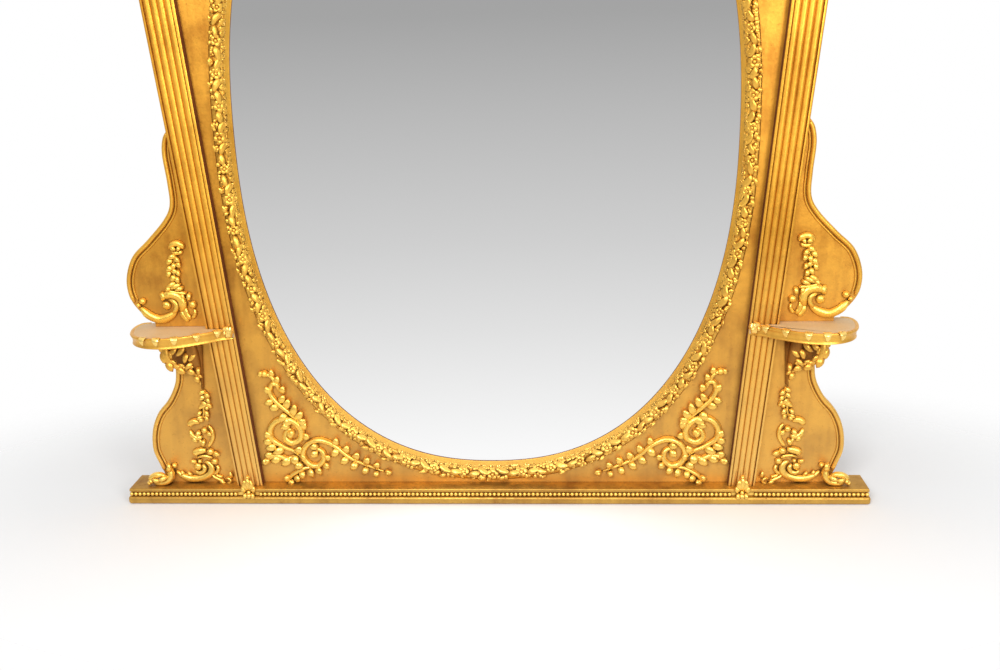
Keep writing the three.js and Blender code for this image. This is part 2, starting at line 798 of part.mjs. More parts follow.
// C scrolls and leaves in one lower corner of the panel, placed from the pilaster's foot in
// percent of the ornament's height.
function spandrelOrnament() {
  const unit = spandrelHeight / 100;
  const at = (inside, up) => [pilasterFootInner - inside * unit, baseTop + up * unit];
  const front = onPanel + spandrelRelief;
  const bigEye = at(22.2, 40.9);
  const smallEye = at(47.6, 24.4);
  const bud = at(8, 96);
  const stem = [bud, at(12.4, 83.6), at(15.1, 71.1), at(17.3, 54.2)];
  const bigScroll = spiral(bigEye, 15.1 * unit, 4.4 * unit, 0.2, -1.1, 22);
  const smallScroll = spiral(smallEye, 11.1 * unit, 3.1 * unit, -0.25, 1.1, 18);
  const bridge = [at(24.9, 30.2), at(32, 28.4), at(40, 25.8)];
  const tail = [at(46.2, 13.3), at(66.7, 11.6), at(84.4, 10.7), at(102.7, 11.1)];
  return join(
    board(ribbon(stem, 9.8 * unit, { lobes: 4, steps: 16, end: 0.8 }), onPanel, front),
    board(ribbon(bigScroll, 5.3 * unit, { steps: 22, start: 1, end: 0.7 }), onPanel, front),
    board(ribbon(smallScroll, 4.4 * unit, { steps: 18, start: 1, end: 0.7 }), onPanel, front),
    board(ribbon(bridge, 5.3 * unit, { steps: 6, start: 0.9, end: 0.9 }), onPanel, front),
    board(ribbon(tail, 6.7 * unit, { lobes: 5, steps: 20, start: 0.8 }), onPanel, front),
    pin(...bigEye, 5.3 * unit, onPanel, front),
    pin(...smallEye, 4 * unit, onPanel, front),
    pin(...bud, 4 * unit, onPanel, front),
  );
}

// ---- Entablature and crest ----

const friezeHalf = pilasterOuter(capitalBottom) + capitalOverhang + friezeOverhang;

function friezeBoard() {
  return block(-friezeHalf, friezeHalf, 0, friezeDepth, friezeBottom, friezeTop);
}

function cornice() {
  const half = friezeHalf + corniceOverhang - friezeOverhang;
  const inset = corniceOverhang - friezeOverhang;
  const profile = [
    [inset, 0],
    [inset * 0.8, 0.08],
    [inset * 0.8, 0.2],
    [inset * 0.72, 0.34],
    [inset * 0.45, 0.5],
    [inset * 0.12, 0.6],
    [0, 0.66],
    [0, 0.92],
    [inset * 0.15, 1],
  ];
  return mouldedBoard(
    half,
    corniceDepth,
    profile.map(([offset, part]) => [offset, corniceBottom + corniceHeight * part]),
  );
}

// Serpentine outline of the pediment board: half of it, as shares of its width and height.
function pedimentCurve() {
  const half = [[1, 0.1], [0.97, 0.22], [0.86, 0.3], [0.7, 0.24], [0.52, 0.28], [0.36, 0.52], [0.18, 0.86]];
  const right = half.map(([across, up]) => [across * pedimentHalfWidth, up * pedimentHeight]);
  const left = [...right].reverse().map(([x, z]) => [-x, z]);
  const points = [...right, [0, pedimentHeight], ...left];
  return new THREE.SplineCurve(points.map(([x, z]) => new THREE.Vector2(x, corniceTop + seat + z)));
}

const pedimentFront = pedimentSetback + pedimentThickness;

function pedimentBoard() {
  const curve = pedimentCurve();
  const steps = 36;
  const bottom = corniceTop + seat;
  const outline = curve.getPoints(steps).map(({ x, y }) => [x, y]);
  const face = board(
    polygon([...outline, [-pedimentHalfWidth, bottom], [pedimentHalfWidth, bottom]]),
    pedimentSetback,
    pedimentFront,
  );
  const inner = [];
  for (let step = 0; step <= steps; step += 1) {
    const point = curve.getPoint(step / steps);
    const along = curve.getTangent(step / steps);
    inner.push([point.x - along.y * edgeWidth, Math.max(point.y + along.x * edgeWidth, bottom)]);
  }
  const strip = [...outline, ...inner.reverse()];
  return join(face, board(polygon(strip), pedimentFront - 1, pedimentFront + edgeRelief));
}

// Scallop shell between two leaf scrolls, standing in front of the pediment board.
function crestOrnament() {
  const back = pedimentFront + edgeRelief + seat;
  const front = back + crestRelief;
  const hinge = [0, corniceTop + pedimentHeight * 0.52];
  const steps = shellLobes * 4;
  const fan = Array.from({ length: steps + 1 }, (_, step) => {
    const part = step / steps;
    const angle = Math.PI * (1.08 * part - 0.04);
    const radius = shellRadius * (0.88 + 0.12 * Math.abs(Math.sin(Math.PI * shellLobes * part)));
    return [hinge[0] + radius * Math.cos(angle), hinge[1] + 0.1 * shellRadius + radius * Math.sin(angle)];
  });
  fan.push([-shellRadius * 0.3, hinge[1] - shellRadius * 0.3]);
  fan.push([shellRadius * 0.3, hinge[1] - shellRadius * 0.3]);
  const pieces = [board(polygon(fan), back, front)];
  for (const side of [-1, 1]) {
    const mirror = ([x, z]) => [side * x, z];
    const eye = [shellRadius * 1.55, hinge[1] - shellRadius * 0.25];
    const outside = shellRadius * 0.42;
    const scroll = spiral(eye, outside, shellRadius * 0.12, 0.42, -1.1, 20).map(mirror);
    const root = [[shellRadius * 0.25, hinge[1]], [shellRadius * 0.7, hinge[1] + shellRadius * 0.05],
      [shellRadius * 1.28, hinge[1] + shellRadius * 0.02]].map(mirror);
    const leaf = [[eye[0] + outside * 0.2, eye[1] - outside * 0.55],
      [shellRadius * 2.5, hinge[1] - shellRadius * 0.6],
      [shellRadius * 3.1, hinge[1] - shellRadius * 0.62],
      [shellRadius * 3.6, hinge[1] - shellRadius * 0.5]].map(mirror);
    pieces.push(
      board(ribbon(scroll, shellRadius * 0.16, { steps: 20, start: 1, end: 0.7 }), back, front),
      board(ribbon(root, shellRadius * 0.3, { steps: 10, start: 0.9, end: 0.8 }), back, front),
      board(ribbon(leaf, shellRadius * 0.3, { lobes: 5, steps: 20, start: 0.8 }), back, front),
      pin(side * eye[0], eye[1], shellRadius * 0.16, back, front),
    );
  }
  return join(...pieces);
}

// ---- Hanging fittings ----

const eyeDepth = backSetback - seat - plateThickness - wireRadius - 0.4;
const eyeInner = wireRadius + wireClearance;
const eyeOuter = eyeInner + eyeWall;
const plateBack = backSetback - seat - plateThickness;

// Brass strap with a rolled eye at its lower end, held by two countersunk screws.
function hangerPlate() {
  const strap = block(
    hangerX - plateWidth / 2, hangerX + plateWidth / 2, plateBack, backSetback - seat,
    hangerHeight + eyeOuter - 0.5, hangerHeight + eyeOuter + plateLength,
  );
  const neck = block(
    hangerX - eyeWidth / 2, hangerX + eyeWidth / 2, plateBack, backSetback - seat,
    hangerHeight, hangerHeight + eyeOuter + 1,
  );
  const roll = (radius, width) => {
    const geometry = new THREE.CylinderGeometry(radius, radius, width, 16);
    geometry.rotateZ(Math.PI / 2);
    geometry.translate(hangerX, -eyeDepth, hangerHeight);
    return geometry;
  };
  const holes = screwHeights.map((height) =>
    pin(hangerX, height, screwHead + seat, 0, backSetback + seat));
  return cut(join(strap, neck, roll(eyeOuter, eyeWidth)), roll(eyeInner, eyeWidth + 2), ...holes);
}

function hangerRing() {
  const steps = 24;
  const path = Array.from({ length: steps }, (_, step) => {
    const angle = Math.PI / 2 + (2 * Math.PI * step) / steps;
    return [
      hangerX + ringRadius * Math.cos(angle),
      hangerHeight - ringRadius + ringRadius * Math.sin(angle),
      Math.cos(angle),
      Math.sin(angle),
    ];
  });
  const section = Array.from({ length: 6 }, (_, k) => {
    const angle = (2 * Math.PI * k) / 6;
    return [wireRadius * Math.cos(angle), eyeDepth + wireRadius * Math.sin(angle)];
  });
  return closedMoulding(path, section);
}

function hangerScrew(height) {
  const head = pin(hangerX, height, screwHead, plateBack, backSetback - seat);
  const shank = pin(hangerX, height, screwShank, plateBack + 0.2, plateBack + screwLength, 10);
  return join(head, shank);
}

// ---- Assembly ----

const assembly = new THREE.Group();
assembly.position.y = baseDepth / 2;

function add(name, geometry, material, parent = assembly) {
  const mesh = new THREE.Mesh(geometry, material);
  mesh.name = name;
  parent.add(mesh);
  return mesh;
}

// A right-hand piece and its left-hand mirror image.
function addPair(name, geometry, material, parent = assembly) {
  add(`${name}_right`, geometry, material, parent);
  add(`${name}_left`, geometry, material, parent).scale.x = -1;
}

add('base_plinth', basePlinth(), agedGilt);
add('base_board', baseBoard(), gilt);
add('base_bead_moulding', baseBeadMoulding(), brightGilt);
addPair('palmette', palmette(), brightGilt);
addPair('volute_foot', voluteFoot(), brightGilt);

add(
  'back_rail_bottom',
  backRail(baseTop + seat, openingBottom, openingBottom - backboardLap, openingBottom + 1),
  pine,
);
add(
  'back_rail_top',
  backRail(openingTop, panelTop, openingTop - 1, openingTop + backboardLap),
  pine,
);
addPair('back_stile', backStile(), pine);
for (let index = 0; index < backboardCount; index += 1) {
  add(`backboard_${index + 1}`, backboard(index), pine);
}
add('mirror_plate', mirrorPlate(), glass);

addPair('panel_lower', panelQuarter(false), gilt);
addPair('panel_upper', panelQuarter(true), gilt);
add('slip_moulding', slipMoulding(), gilt);
add('garland_moulding', garlandMoulding(), brightGilt);

// The upper corners repeat the lower ones upside down about the oval's centre.
const flipped = new THREE.Group();
flipped.scale.z = -1;
flipped.position.z = 2 * sightCentre;
assembly.add(flipped);
addPair('glazing_block_upper', glazingBlock(), pine);
addPair('glazing_block_lower', glazingBlock(), pine, flipped);
addPair('spandrel_ornament_lower', spandrelOrnament(), brightGilt);
addPair('spandrel_ornament_upper', spandrelOrnament(), brightGilt, flipped);

addPair('pilaster', pilaster(), gilt);
addPair('capital', capital(), brightGilt);
addPair('wing_upper', wing(upperWing, onShelf, shelfTop + upperWingHeight, 0.03, 0.78), gilt);
addPair('wing_lower', wing(lowerWing, onBase, shelfBottom - seat, 0.13, 0.93), gilt);
addPair('wing_spray_upper', upperSpray(), brightGilt);
addPair('wing_spray_lower', lowerSpray(), brightGilt);
addPair('shelf', shelf(), shelfFinish);
addPair('shelf_rim', shelfRim(), brightGilt);
addPair('corbel', corbel(), brightGilt);

add('frieze_board', friezeBoard(), gilt);
add('cornice', cornice(), gilt);
add('pediment_board', pedimentBoard(), gilt);
add('crest_ornament', crestOrnament(), brightGilt);

addPair('hanger_plate', hangerPlate(), brass);
addPair('hanger_ring', hangerRing(), brass);
screwHeights.forEach((height, index) => {
  addPair(`hanger_screw_${index + 1}`, hangerScrew(height), steel);
});

export default assembly;
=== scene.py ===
# %% [markdown]
# A gilded pier mirror, dressed for its portrait
#
# The object is a Victorian sort of looking glass: a pine frame faced with flat boards,
# coated in gesso and clay, covered in gold leaf and trimmed with little leaves and flowers
# pressed from composition, a putty that sets hard. The solid model of every board comes
# packed already, as a fixed frame. This lesson keeps the boards whose shape is right, gives
# them finishes, and models the pressed ornament afresh, because that is what the eye rests
# on. Lengths below are millimetres wherever a name says nothing else; the frame is in metres.

# %% Load the frame
import bisect
import math
import random

import bmesh
import bpy
from mathutils import Matrix, Vector


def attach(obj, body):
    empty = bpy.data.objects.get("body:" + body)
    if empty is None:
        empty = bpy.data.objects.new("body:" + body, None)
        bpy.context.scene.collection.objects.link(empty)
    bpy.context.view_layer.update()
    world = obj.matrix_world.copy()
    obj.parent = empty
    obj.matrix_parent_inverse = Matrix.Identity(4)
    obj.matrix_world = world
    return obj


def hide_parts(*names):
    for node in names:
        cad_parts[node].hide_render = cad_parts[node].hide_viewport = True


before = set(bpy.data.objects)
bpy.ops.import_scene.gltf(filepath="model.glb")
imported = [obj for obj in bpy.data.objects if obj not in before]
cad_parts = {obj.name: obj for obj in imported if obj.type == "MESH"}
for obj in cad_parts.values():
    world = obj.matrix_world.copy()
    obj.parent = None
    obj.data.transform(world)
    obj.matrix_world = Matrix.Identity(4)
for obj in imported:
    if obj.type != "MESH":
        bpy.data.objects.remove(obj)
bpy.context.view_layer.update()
MM = 0.001
WALL = 32.5  # the wall plane's distance behind the origin
BASE_TOP, BOARD_FOOT, BOARD_HEAD = 30.3, 30.6, 1327.0  # heights over the floor
GROUND = 31.0  # the flat boards' face, forward of the wall

# %% [markdown]
# The camera first
#
# Everything after this is judged through the camera, so it comes first. Its place was worked
# out from the parallel edges of the base and pilasters: it stands a little right of centre,
# 1.8 m away and 0.87 m up, and looks down at 17 degrees, so verticals lean inwards towards
# the floor. The lens has no shift, so the camera's axes are all it needs.

# %% Camera
def camera_axes(yaw, pitch, roll):
    ahead = Vector((-math.sin(yaw) * math.cos(pitch), math.cos(yaw) * math.cos(pitch), -math.sin(pitch)))
    level = Vector((math.cos(yaw), math.sin(yaw), 0))
    upright = level.cross(ahead)
    right = level * math.cos(roll) + upright * math.sin(roll)
    return right, right.cross(ahead), ahead


lens = bpy.data.cameras.new("portrait_lens")
lens.lens = 37.8  # for a picture of 1000 px: a focal length of 1050 px
lens.sensor_width = 36
lens.clip_start = 0.05
lens.clip_end = 60
camera = bpy.data.objects.new("portrait_camera", lens)
bpy.context.scene.collection.objects.link(camera)
right, up, ahead = camera_axes(math.radians(3.39), math.radians(17.02), math.radians(-1.44))
camera.matrix_world = Matrix((right, up, -ahead)).transposed().to_4x4()
camera.location = (0.126, -1.7895, 0.8665)
bpy.context.scene.camera = camera
print("camera looks along", tuple(round(value, 3) for value in ahead))

# %% [markdown]
# Colours and nodes
#
# Colours are read off a screen as sRGB hex, but a shader adds light together, so it wants
# them in linear values: one function turns one into the other. Every finish is made of the
# same few nodes: a noise, a change of range, a sum, a blend of two colours and a ramp. Each
# has a function of its own, which keeps a material readable as a recipe.

# %% Colour and node helpers
def linear(code):
    channels = [int(code[i : i + 2], 16) / 255 for i in (1, 3, 5)]
    return tuple(c / 12.92 if c <= 0.04045 else ((c + 0.055) / 1.055) ** 2.4 for c in channels) + (1.0,)


def feed(tree, node, inputs):
    for name, value in inputs.items():
        socket = node.inputs[name]
        if isinstance(value, bpy.types.NodeSocket):
            tree.links.new(value, socket)
        else:
            socket.default_value = value


def add(tree, kind, inputs, **settings):
    node = tree.nodes.new("ShaderNode" + kind)
    for name, value in settings.items():
        setattr(node, name, value)
    feed(tree, node, inputs)
    return node.outputs


def object_place(tree):
    return add(tree, "TexCoord", {})["Object"]


def stretched(tree, place, scale):
    return add(tree, "Mapping", {"Vector": place, "Scale": scale})["Vector"]


def noise(tree, place, scale, detail, roughness=0.5):
    facts = {"Vector": place, "Scale": scale, "Detail": detail, "Roughness": roughness}
    return add(tree, "TexNoise", facts)["Fac"]


def remap(tree, value, known, wanted=(0, 1), curve="LINEAR"):
    facts = {"Value": value, "From Min": known[0], "From Max": known[1]}
    facts.update({"To Min": wanted[0], "To Max": wanted[1]})
    return add(tree, "MapRange", facts, interpolation_type=curve)["Result"]


def reckon(tree, operation, first, second, clamp=False):
    return add(tree, "Math", {0: first, 1: second}, operation=operation, use_clamp=clamp)["Value"]


def blend(tree, share, first, second):
    return add(tree, "Mix", {0: share, 6: first, 7: second}, data_type="RGBA")[2]


def ramp(tree, share, *stops):
    node = tree.nodes.new("ShaderNodeValToRGB")
    feed(tree, node, {"Fac": share})
    marks = node.color_ramp.elements
    marks.remove(marks[1])
    marks[0].position = stops[0][0]
    marks[0].color = linear(stops[0][1])
    for place, code in stops[1:]:
        marks.new(place).color = linear(code)
    return node.outputs["Color"]


def bump(tree, height, strength, distance):
    return add(tree, "Bump", {"Height": height, "Strength": strength, "Distance": distance})["Normal"]


def new_material(name):
    material = bpy.data.materials.new(name)
    material.use_nodes = True
    tree = material.node_tree
    tree.nodes.clear()
    shader = tree.nodes.new("ShaderNodeBsdfPrincipled")
    add(tree, "OutputMaterial", {"Surface": shader.outputs["BSDF"]})
    return material, tree, shader


print("gold leaf in linear light:", linear("#E3AF58"))

# %% [markdown]
# Floor, backdrop and light
#
# A gilder judges gold in a white room with the light high in front. The floor is a pale
# sheet that thins out to nothing before its edge, so no horizon shows and the object still
# has its shadow. The room behind the camera darkens from the floor up to eye level, and that
# is what the looking glass shows: a grey that pales downwards. It is drawn in the world for
# glossy rays, the gold sees it too, and straight to the camera the room is plain white.

# %% Floor
def make_floor():
    bm = bmesh.new()
    bmesh.ops.create_grid(bm, x_segments=2, y_segments=2, size=3)
    mesh = bpy.data.meshes.new("floor")
    bm.to_mesh(mesh)
    bm.free()
    sheet = bpy.data.objects.new("floor", mesh)
    bpy.context.scene.collection.objects.link(sheet)
    material, tree, shader = new_material("pale_studio_paper")
    feed(tree, shader, {"Base Color": linear("#F4F4F4"), "Roughness": 0.9, "Specular IOR Level": 0.1})
    oval = stretched(tree, object_place(tree), (0.8, 1.5, 1))
    reach = add(tree, "VectorMath", {"Vector": oval}, operation="LENGTH")["Value"]
    fade = remap(tree, reach, (0.45, 1.15), curve="SMOOTHSTEP")
    ray = add(tree, "LightPath", {})
    unseen = reckon(tree, "MAXIMUM", fade, ray["Is Glossy Ray"])
    clear = add(tree, "BsdfTransparent", {})["BSDF"]
    paper = add(tree, "MixShader", {0: unseen, 1: shader.outputs["BSDF"], 2: clear})["Shader"]
    feed(tree, tree.nodes["Material Output"], {"Surface": paper})
    mesh.materials.append(material)
    return sheet


print("floor is", make_floor().dimensions.x, "m wide")

# %% Room seen by mirrors, and plain light for everything else
def make_room(level):
    world = bpy.data.worlds.new("white_room")
    world.use_nodes = True
    tree = world.node_tree
    tree.nodes.clear()
    height = add(tree, "SeparateXYZ", {"Vector": add(tree, "TexCoord", {})["Generated"]})
    shade = ramp(
        tree, remap(tree, height["Z"], (-0.5, 1.0)),
        (0.0, "#FFFFFF"), (0.07, "#FAFAFA"), (0.141, "#E2E2E2"), (0.196, "#D0D0D0"), (0.274, "#BABABA"),
        (0.333, "#A5A5A5"), (0.42, "#A0A0A0"), (0.62, "#E8E8E8"), (1.0, "#FFFFFF"),
    )
    white = (1, 1, 1, 1)
    room = blend(tree, remap(tree, height["Y"], (0.0, 0.4)), shade, white)
    ray = add(tree, "LightPath", {})
    shiny = reckon(tree, "MAXIMUM", ray["Is Glossy Ray"], ray["Is Transmission Ray"])
    lit = blend(tree, shiny, (level, level, level, 1), room)
    seen = blend(tree, ray["Is Camera Ray"], lit, white)
    back = add(tree, "Background", {"Color": seen, "Strength": 1.0})["Background"]
    add(tree, "OutputWorld", {"Surface": back})
    bpy.context.scene.world = world


def make_lamp(name, place, target, width, height, watts):
    light = bpy.data.lights.new(name, "AREA")
    light.shape = "RECTANGLE"
    light.size = width
    light.size_y = height
    light.energy = watts
    lamp = bpy.data.objects.new(name, light)
    bpy.context.scene.collection.objects.link(lamp)
    lamp.location = place
    lamp.rotation_euler = (Vector(target) - Vector(place)).to_track_quat("-Z", "Y").to_euler()


make_room(0.5)
make_lamp("high_softbox", (-0.6, -2.5, 1.9), (0, 0, 0.3), 1.0, 0.7, 56)
make_lamp("right_fill", (1.45, -2.3, 1.2), (0.3, 0, 0.5), 0.9, 1.0, 34)
bpy.context.scene.view_settings.view_transform = "Standard"
print("two lamps over a level room")

# %% [markdown]
# Gold leaf on flat work
#
# The boards are oil gilded: leaf laid over gesso and clay, about a ten-thousandth of a
# millimetre thick, so it is metal to the eye but follows every ripple of the brushed ground.
# It reads as satin, not as a polished bar. The leaf comes in squares of 80 mm, which leave
# faint laps. Age toned it: glaze and dust sit in clouds a hand wide, darker specks are a few
# millimetres, and on rubbed places the red-brown clay shows. Near the floor the gold is painted
# paler, a painted bounce light from the pale floor, and corners and hollows are painted darker,
# grime and toning mixed with painted shade. So one recipe mixes a leaf colour, a toned colour
# and a clay colour, pales them by height, and each finish names its own.

# %% Gilding recipe
# Painted bounce light: near the floor the leaf is painted towards this paler gold.
BOUNCE_LIGHT_LEAF = "#F8CC78"
PALING_HEIGHTS = (0.5, 0.05)  # metres: none above the first, all of it at the second
SQUARES_PER_METRE = 12.5


def gilding(
    name, leaf, toned, clay, toning=0.5, wear=0.35, rough=0.42, relief=False, pale=0.3, soot_and_shade="#7E4A14",
    metal=0.75,
):
    material, tree, shader = new_material(name)
    place = object_place(tree)
    clouds = noise(tree, place, 11, 5, 0.62)
    specks = noise(tree, place, 170, 4, 0.7)
    brushed = noise(tree, stretched(tree, place, (60, 60, 9)), 1, 3)
    laid = {"Vector": place, "Scale": SQUARES_PER_METRE, "Randomness": 0.35}
    squares = add(tree, "TexVoronoi", laid, distance="CHEBYCHEV")["Color"]
    laps = reckon(tree, "MULTIPLY", add(tree, "SeparateColor", {"Color": squares})["Red"], 0.10)
    tone = reckon(tree, "ADD", remap(tree, clouds, (0.42, 0.70), (0, toning)), laps)
    drift = remap(tree, brushed, (0.45, 0.75), (0, toning * 0.55))
    tone = reckon(tree, "ADD", tone, drift, clamp=True)
    colour = blend(tree, tone, linear(leaf), linear(toned))
    # Painted bounce light: paler towards the floor, by each finish's own share.
    height = add(tree, "SeparateXYZ", {"Vector": place})["Z"]
    colour = blend(tree, remap(tree, height, PALING_HEIGHTS, (0, pale)), colour, linear(BOUNCE_LIGHT_LEAF))
    colour = blend(tree, remap(tree, specks, (0.60, 0.74), (0, wear)), colour, linear(clay))
    # Hollows are darkened towards the clay colour by their relief: toning plus painted shade.
    if relief:
        carved = add(tree, "Attribute", {}, attribute_name="relief")["Fac"]
        level = reckon(tree, "ADD", carved, reckon(tree, "MULTIPLY", specks, 0.35))
        deep = remap(tree, level, (0.16, 0.62), curve="SMOOTHSTEP")
        colour = blend(tree, deep, linear(clay), colour)
    # Painted shade: corners and crevices are darkened towards the soot colour, grime and shade together.
    corner = add(tree, "AmbientOcclusion", {"Distance": 0.006}, samples=4)["AO"]
    colour = blend(tree, remap(tree, corner, (0.1, 0.7)), linear(soot_and_shade), colour)
    gloss = remap(tree, specks, (0.3, 0.7), (rough - 0.07, rough + 0.14))
    uneven = bump(tree, reckon(tree, "ADD", specks, clouds), 0.25, 0.0012)
    feed(tree, shader, {"Base Color": colour, "Roughness": gloss, "Normal": uneven, "Metallic": metal})
    return material


# Oil gilded boards: satin leaf with a toned glaze over it, so the field stays quiet.
field_gold = gilding("oil_gilded_board", "#DE9F36", "#A56818", "#80501C", toning=0.8, wear=0.45, pale=0.35)
# The base has more clay showing through its worn leaf, and the leaf itself is browner.
base_gold = gilding(
    "oil_gilded_base_rubbed", "#CC9C42", "#9A6A28", "#6A3414", toning=0.75, wear=0.6, pale=0.1,
)
# Its ledges were dusted most, so the leaf there is thin and the brown ground shows through.
ledge_gold = gilding(
    "rubbed_ledge", "#C3933C", "#946626", "#62300F", toning=0.8, wear=0.7, rough=0.5, pale=0.0,
)
# Mouldings are rubbed brighter with a cloth, and wear through on their edges.
edge_gold = gilding("gilded_moulding_edge", "#F0B644", "#C08220", "#7E4410", wear=0.45, rough=0.34)
# The same on the reeded posts, with the quirks darkened: glaze and painted shade.
reed_gold = gilding(
    "gilded_reeding", "#F0B03C", "#BE8020", "#A4681E",
    toning=0.55, wear=0.4, rough=0.36, relief=True, pale=0.6, soot_and_shade="#8C5818",
)
# The rolls round the wings, with a nearly black brown line between the two, a painted shade.
roll_gold = gilding(
    "gilded_wing_roll", "#EDB343", "#C2841F", "#7E4C14", wear=0.4, rough=0.36, relief=True, pale=0.4,
)
# The leaf tongues that fold over the shelf's lip, burnished by being handled and dusted.
tongue_gold = gilding("burnished_tongue", "#FFDD7C", "#E2A63C", "#8A4E16", toning=0.4, wear=0.3, rough=0.25)
# Water gilded composition ornament, burnished on its heads, its hollows darkened by toning and painted shade.
ornament_gold = gilding(
    "water_gilded_composition", "#FFD058", "#DFA030", "#985A14",
    toning=0.35, wear=0.2, rough=0.27, relief=True,
)
# The garland is the same work, but dust has filled it, so its heads are duller and its hollows brown, from
# dust and painted shade.
garland_gold = gilding(
    "garland_gilding_dust_and_shade", "#F2BC4C", "#C98C2C", "#8C5218",
    toning=0.5, wear=0.4, rough=0.32, relief=True, pale=0.25, soot_and_shade="#93581A",
)
# Painted shadow: the side of the reeded posts, and the slip's face towards the glass, are coloured near-black
# brown, which shows as a dark line.
painted_shadow_side = gilding(
    "painted_shadow_side_faces", "#6A3014", "#4C1E0A", "#371406",
    toning=0.6, wear=0.4, rough=0.6, pale=0.0, metal=0.1,
)
# Painted shade for the hollow under each shelf: gold darkened nearly to brown, so that the lobes in front
# stand out.
shaded_hollow_gold = gilding(
    "painted_shade_hollow_gilding", "#A9712A", "#7E4C1B", "#5A3214", toning=0.8, wear=0.3, rough=0.5, pale=0.0,
)
print("gilding finishes:", [m.name for m in bpy.data.materials])

# %% [markdown]
# The other finishes
#
# The shelf tops are gilded too, but have kept a film of dust, so they are dull, pinkish and
# no longer metal to the eye. The looking glass is silver behind 4 mm of glass: to the eye a
# clean grey metal with hardly any roughness. Behind everything is sawn pine gone brown, with
# growth rings a few millimetres wide drawn out along the board, and brass and steel fittings.

# %% Shelf top, looking glass, pine and fittings
def dusty_gold():
    material, tree, shader = new_material("gilded_shelf_under_dust")
    place = object_place(tree)
    grit = noise(tree, place, 420, 2)
    dust = ramp(tree, noise(tree, place, 26, 6, 0.65), (0.3, "#DAB984"), (0.5, "#E7C99A"), (0.72, "#EDD6B2"))
    feed(tree, shader, {
        "Base Color": blend(tree, grit, dust, linear("#CFAF82")),
        "Normal": bump(tree, grit, 0.2, 0.0004), "Metallic": 0.15, "Roughness": 0.62,
    })
    return material


def silvered_glass():
    material, tree, shader = new_material("silvered_looking_glass")
    haze = noise(tree, object_place(tree), 3.5, 4)
    film = remap(tree, haze, (0.3, 0.8), (0.015, 0.04))
    feed(tree, shader, {"Base Color": linear("#FEFEFE"), "Metallic": 1.0, "Roughness": film})
    return material


def sawn_pine():
    material, tree, shader = new_material("sawn_pine_browned")
    place = object_place(tree)
    board = stretched(tree, place, (1, 1, 0.06))
    sway = add(tree, "TexNoise", {"Vector": board, "Scale": 14, "Detail": 3})["Color"]
    swayed = add(tree, "VectorMath", {0: board, 1: sway, 2: (0.05, 0.05, 0.05)}, operation="MULTIPLY_ADD")
    rings = add(
        tree, "TexWave", {"Vector": swayed["Vector"], "Scale": 34, "Distortion": 2.5},
        wave_type="BANDS", bands_direction="X",
    )["Fac"]
    wood = ramp(tree, rings, (0.0, "#A87743"), (0.6, "#96663A"), (0.92, "#6F4423"))
    dirt = remap(tree, noise(tree, place, 5, 6, 0.7), (0.45, 0.8), (0, 0.7))
    saw = noise(tree, stretched(tree, place, (900, 900, 40)), 1, 2)
    feed(tree, shader, {
        "Base Color": blend(tree, dirt, wood, linear("#4A3220")),
        "Normal": bump(tree, saw, 0.35, 0.0005), "Roughness": 0.78,
    })
    return material


def old_metal(name, bright, dark, rough):
    material, tree, shader = new_material(name)
    patina = noise(tree, object_place(tree), 260, 5, 0.7)
    feed(tree, shader, {
        "Base Color": ramp(tree, patina, (0.35, dark), (0.62, bright)),
        "Roughness": remap(tree, patina, (0, 1), (rough + 0.2, rough - 0.1)), "Metallic": 1.0,
    })
    return material


shelf_dust = dusty_gold()
looking_glass = silvered_glass()
pine = sawn_pine()
# Rolled brass strap and drawn brass wire, browned except where it rubs.
brass = old_metal("rolled_brass_tarnished", "#B8923F", "#6E5426", 0.36)
# Cut steel screws, blued and a little rusty.
steel = old_metal("steel_screw_rusted", "#77736C", "#4A3428", 0.42)
print(len(bpy.data.materials), "materials")

# %% [markdown]
# A way to press ornament
#
# Composition is pressed from a boxwood mould, and every motif in it is a soft swelling form:
# a leaf, a berry, a stem, a curl. In mesh each starts as a ball. Its poles become the two
# ends, its rings are carried along a path on the work, and one factor sets how far the ring
# swells there. The ball is closed and faces outwards before it starts, so the leaf is too. A
# dent along the top gives the midrib. Points are (x, z, depth): the front view in
# millimetres from the centre line and the floor, and the distance forward of the wall.

# %% Paths
def along(path, share):
    reach = share * (len(path) - 1)
    first = min(int(reach), len(path) - 2)
    t = reach - first
    a, b, c, d = (Vector(path[min(max(first + k, 0), len(path) - 1)]) for k in (-1, 0, 1, 2))
    return b + 0.5 * t * ((c - a) + t * ((2 * a - 5 * b + 4 * c - d) + t * (3 * (b - c) + d - a)))


def onward(path, share, near):
    return along(path, min(share + near, 1)) - along(path, max(share - near, 0))


def bearing(path, share, near):
    ahead = onward(path, share, near)
    return math.degrees(math.atan2(ahead.y, ahead.x))


def heading_path(x, z, depth, heading, length, bend, lift, steps=4):
    path = [(x, z, depth)]
    for step in range(steps):
        angle = math.radians(heading + bend * (step + 0.5) / steps)
        x += length / steps * math.cos(angle)
        z += length / steps * math.sin(angle)
        path.append((x, z, depth + lift * math.sin(math.pi * 0.62 * (step + 1) / steps)))
    return path


def spiral_path(x, z, depth, outer, inner, start, turn, lift, steps=20):
    path = []
    for step in range(steps + 1):
        share = step / steps
        radius = outer + (inner - outer) * share
        angle = math.radians(start + turn * share)
        path.append((x + radius * math.cos(angle), z + radius * math.sin(angle), depth + lift * share))
    return path


print("a point half way along a spiral:", along(spiral_path(0, 0, 0, 30, 8, 90, -400, 2), 0.5))

# %% Swelling forms
def swell_leaf(share):
    return 2.3 * share ** 0.5 * (1 - share) ** 0.8


def swell_stem(share):
    return min(1.0, 3.2 * share, 4.5 * (1 - share)) ** 0.5


def swell_roll(share):
    return min(1, 30 * share, 30 * (1 - share)) ** 0.5


def swell_tail(share):
    return (min(1.0, 5 * share) ** 0.5) * (1 - share) ** 0.55


ball_moulds = {}


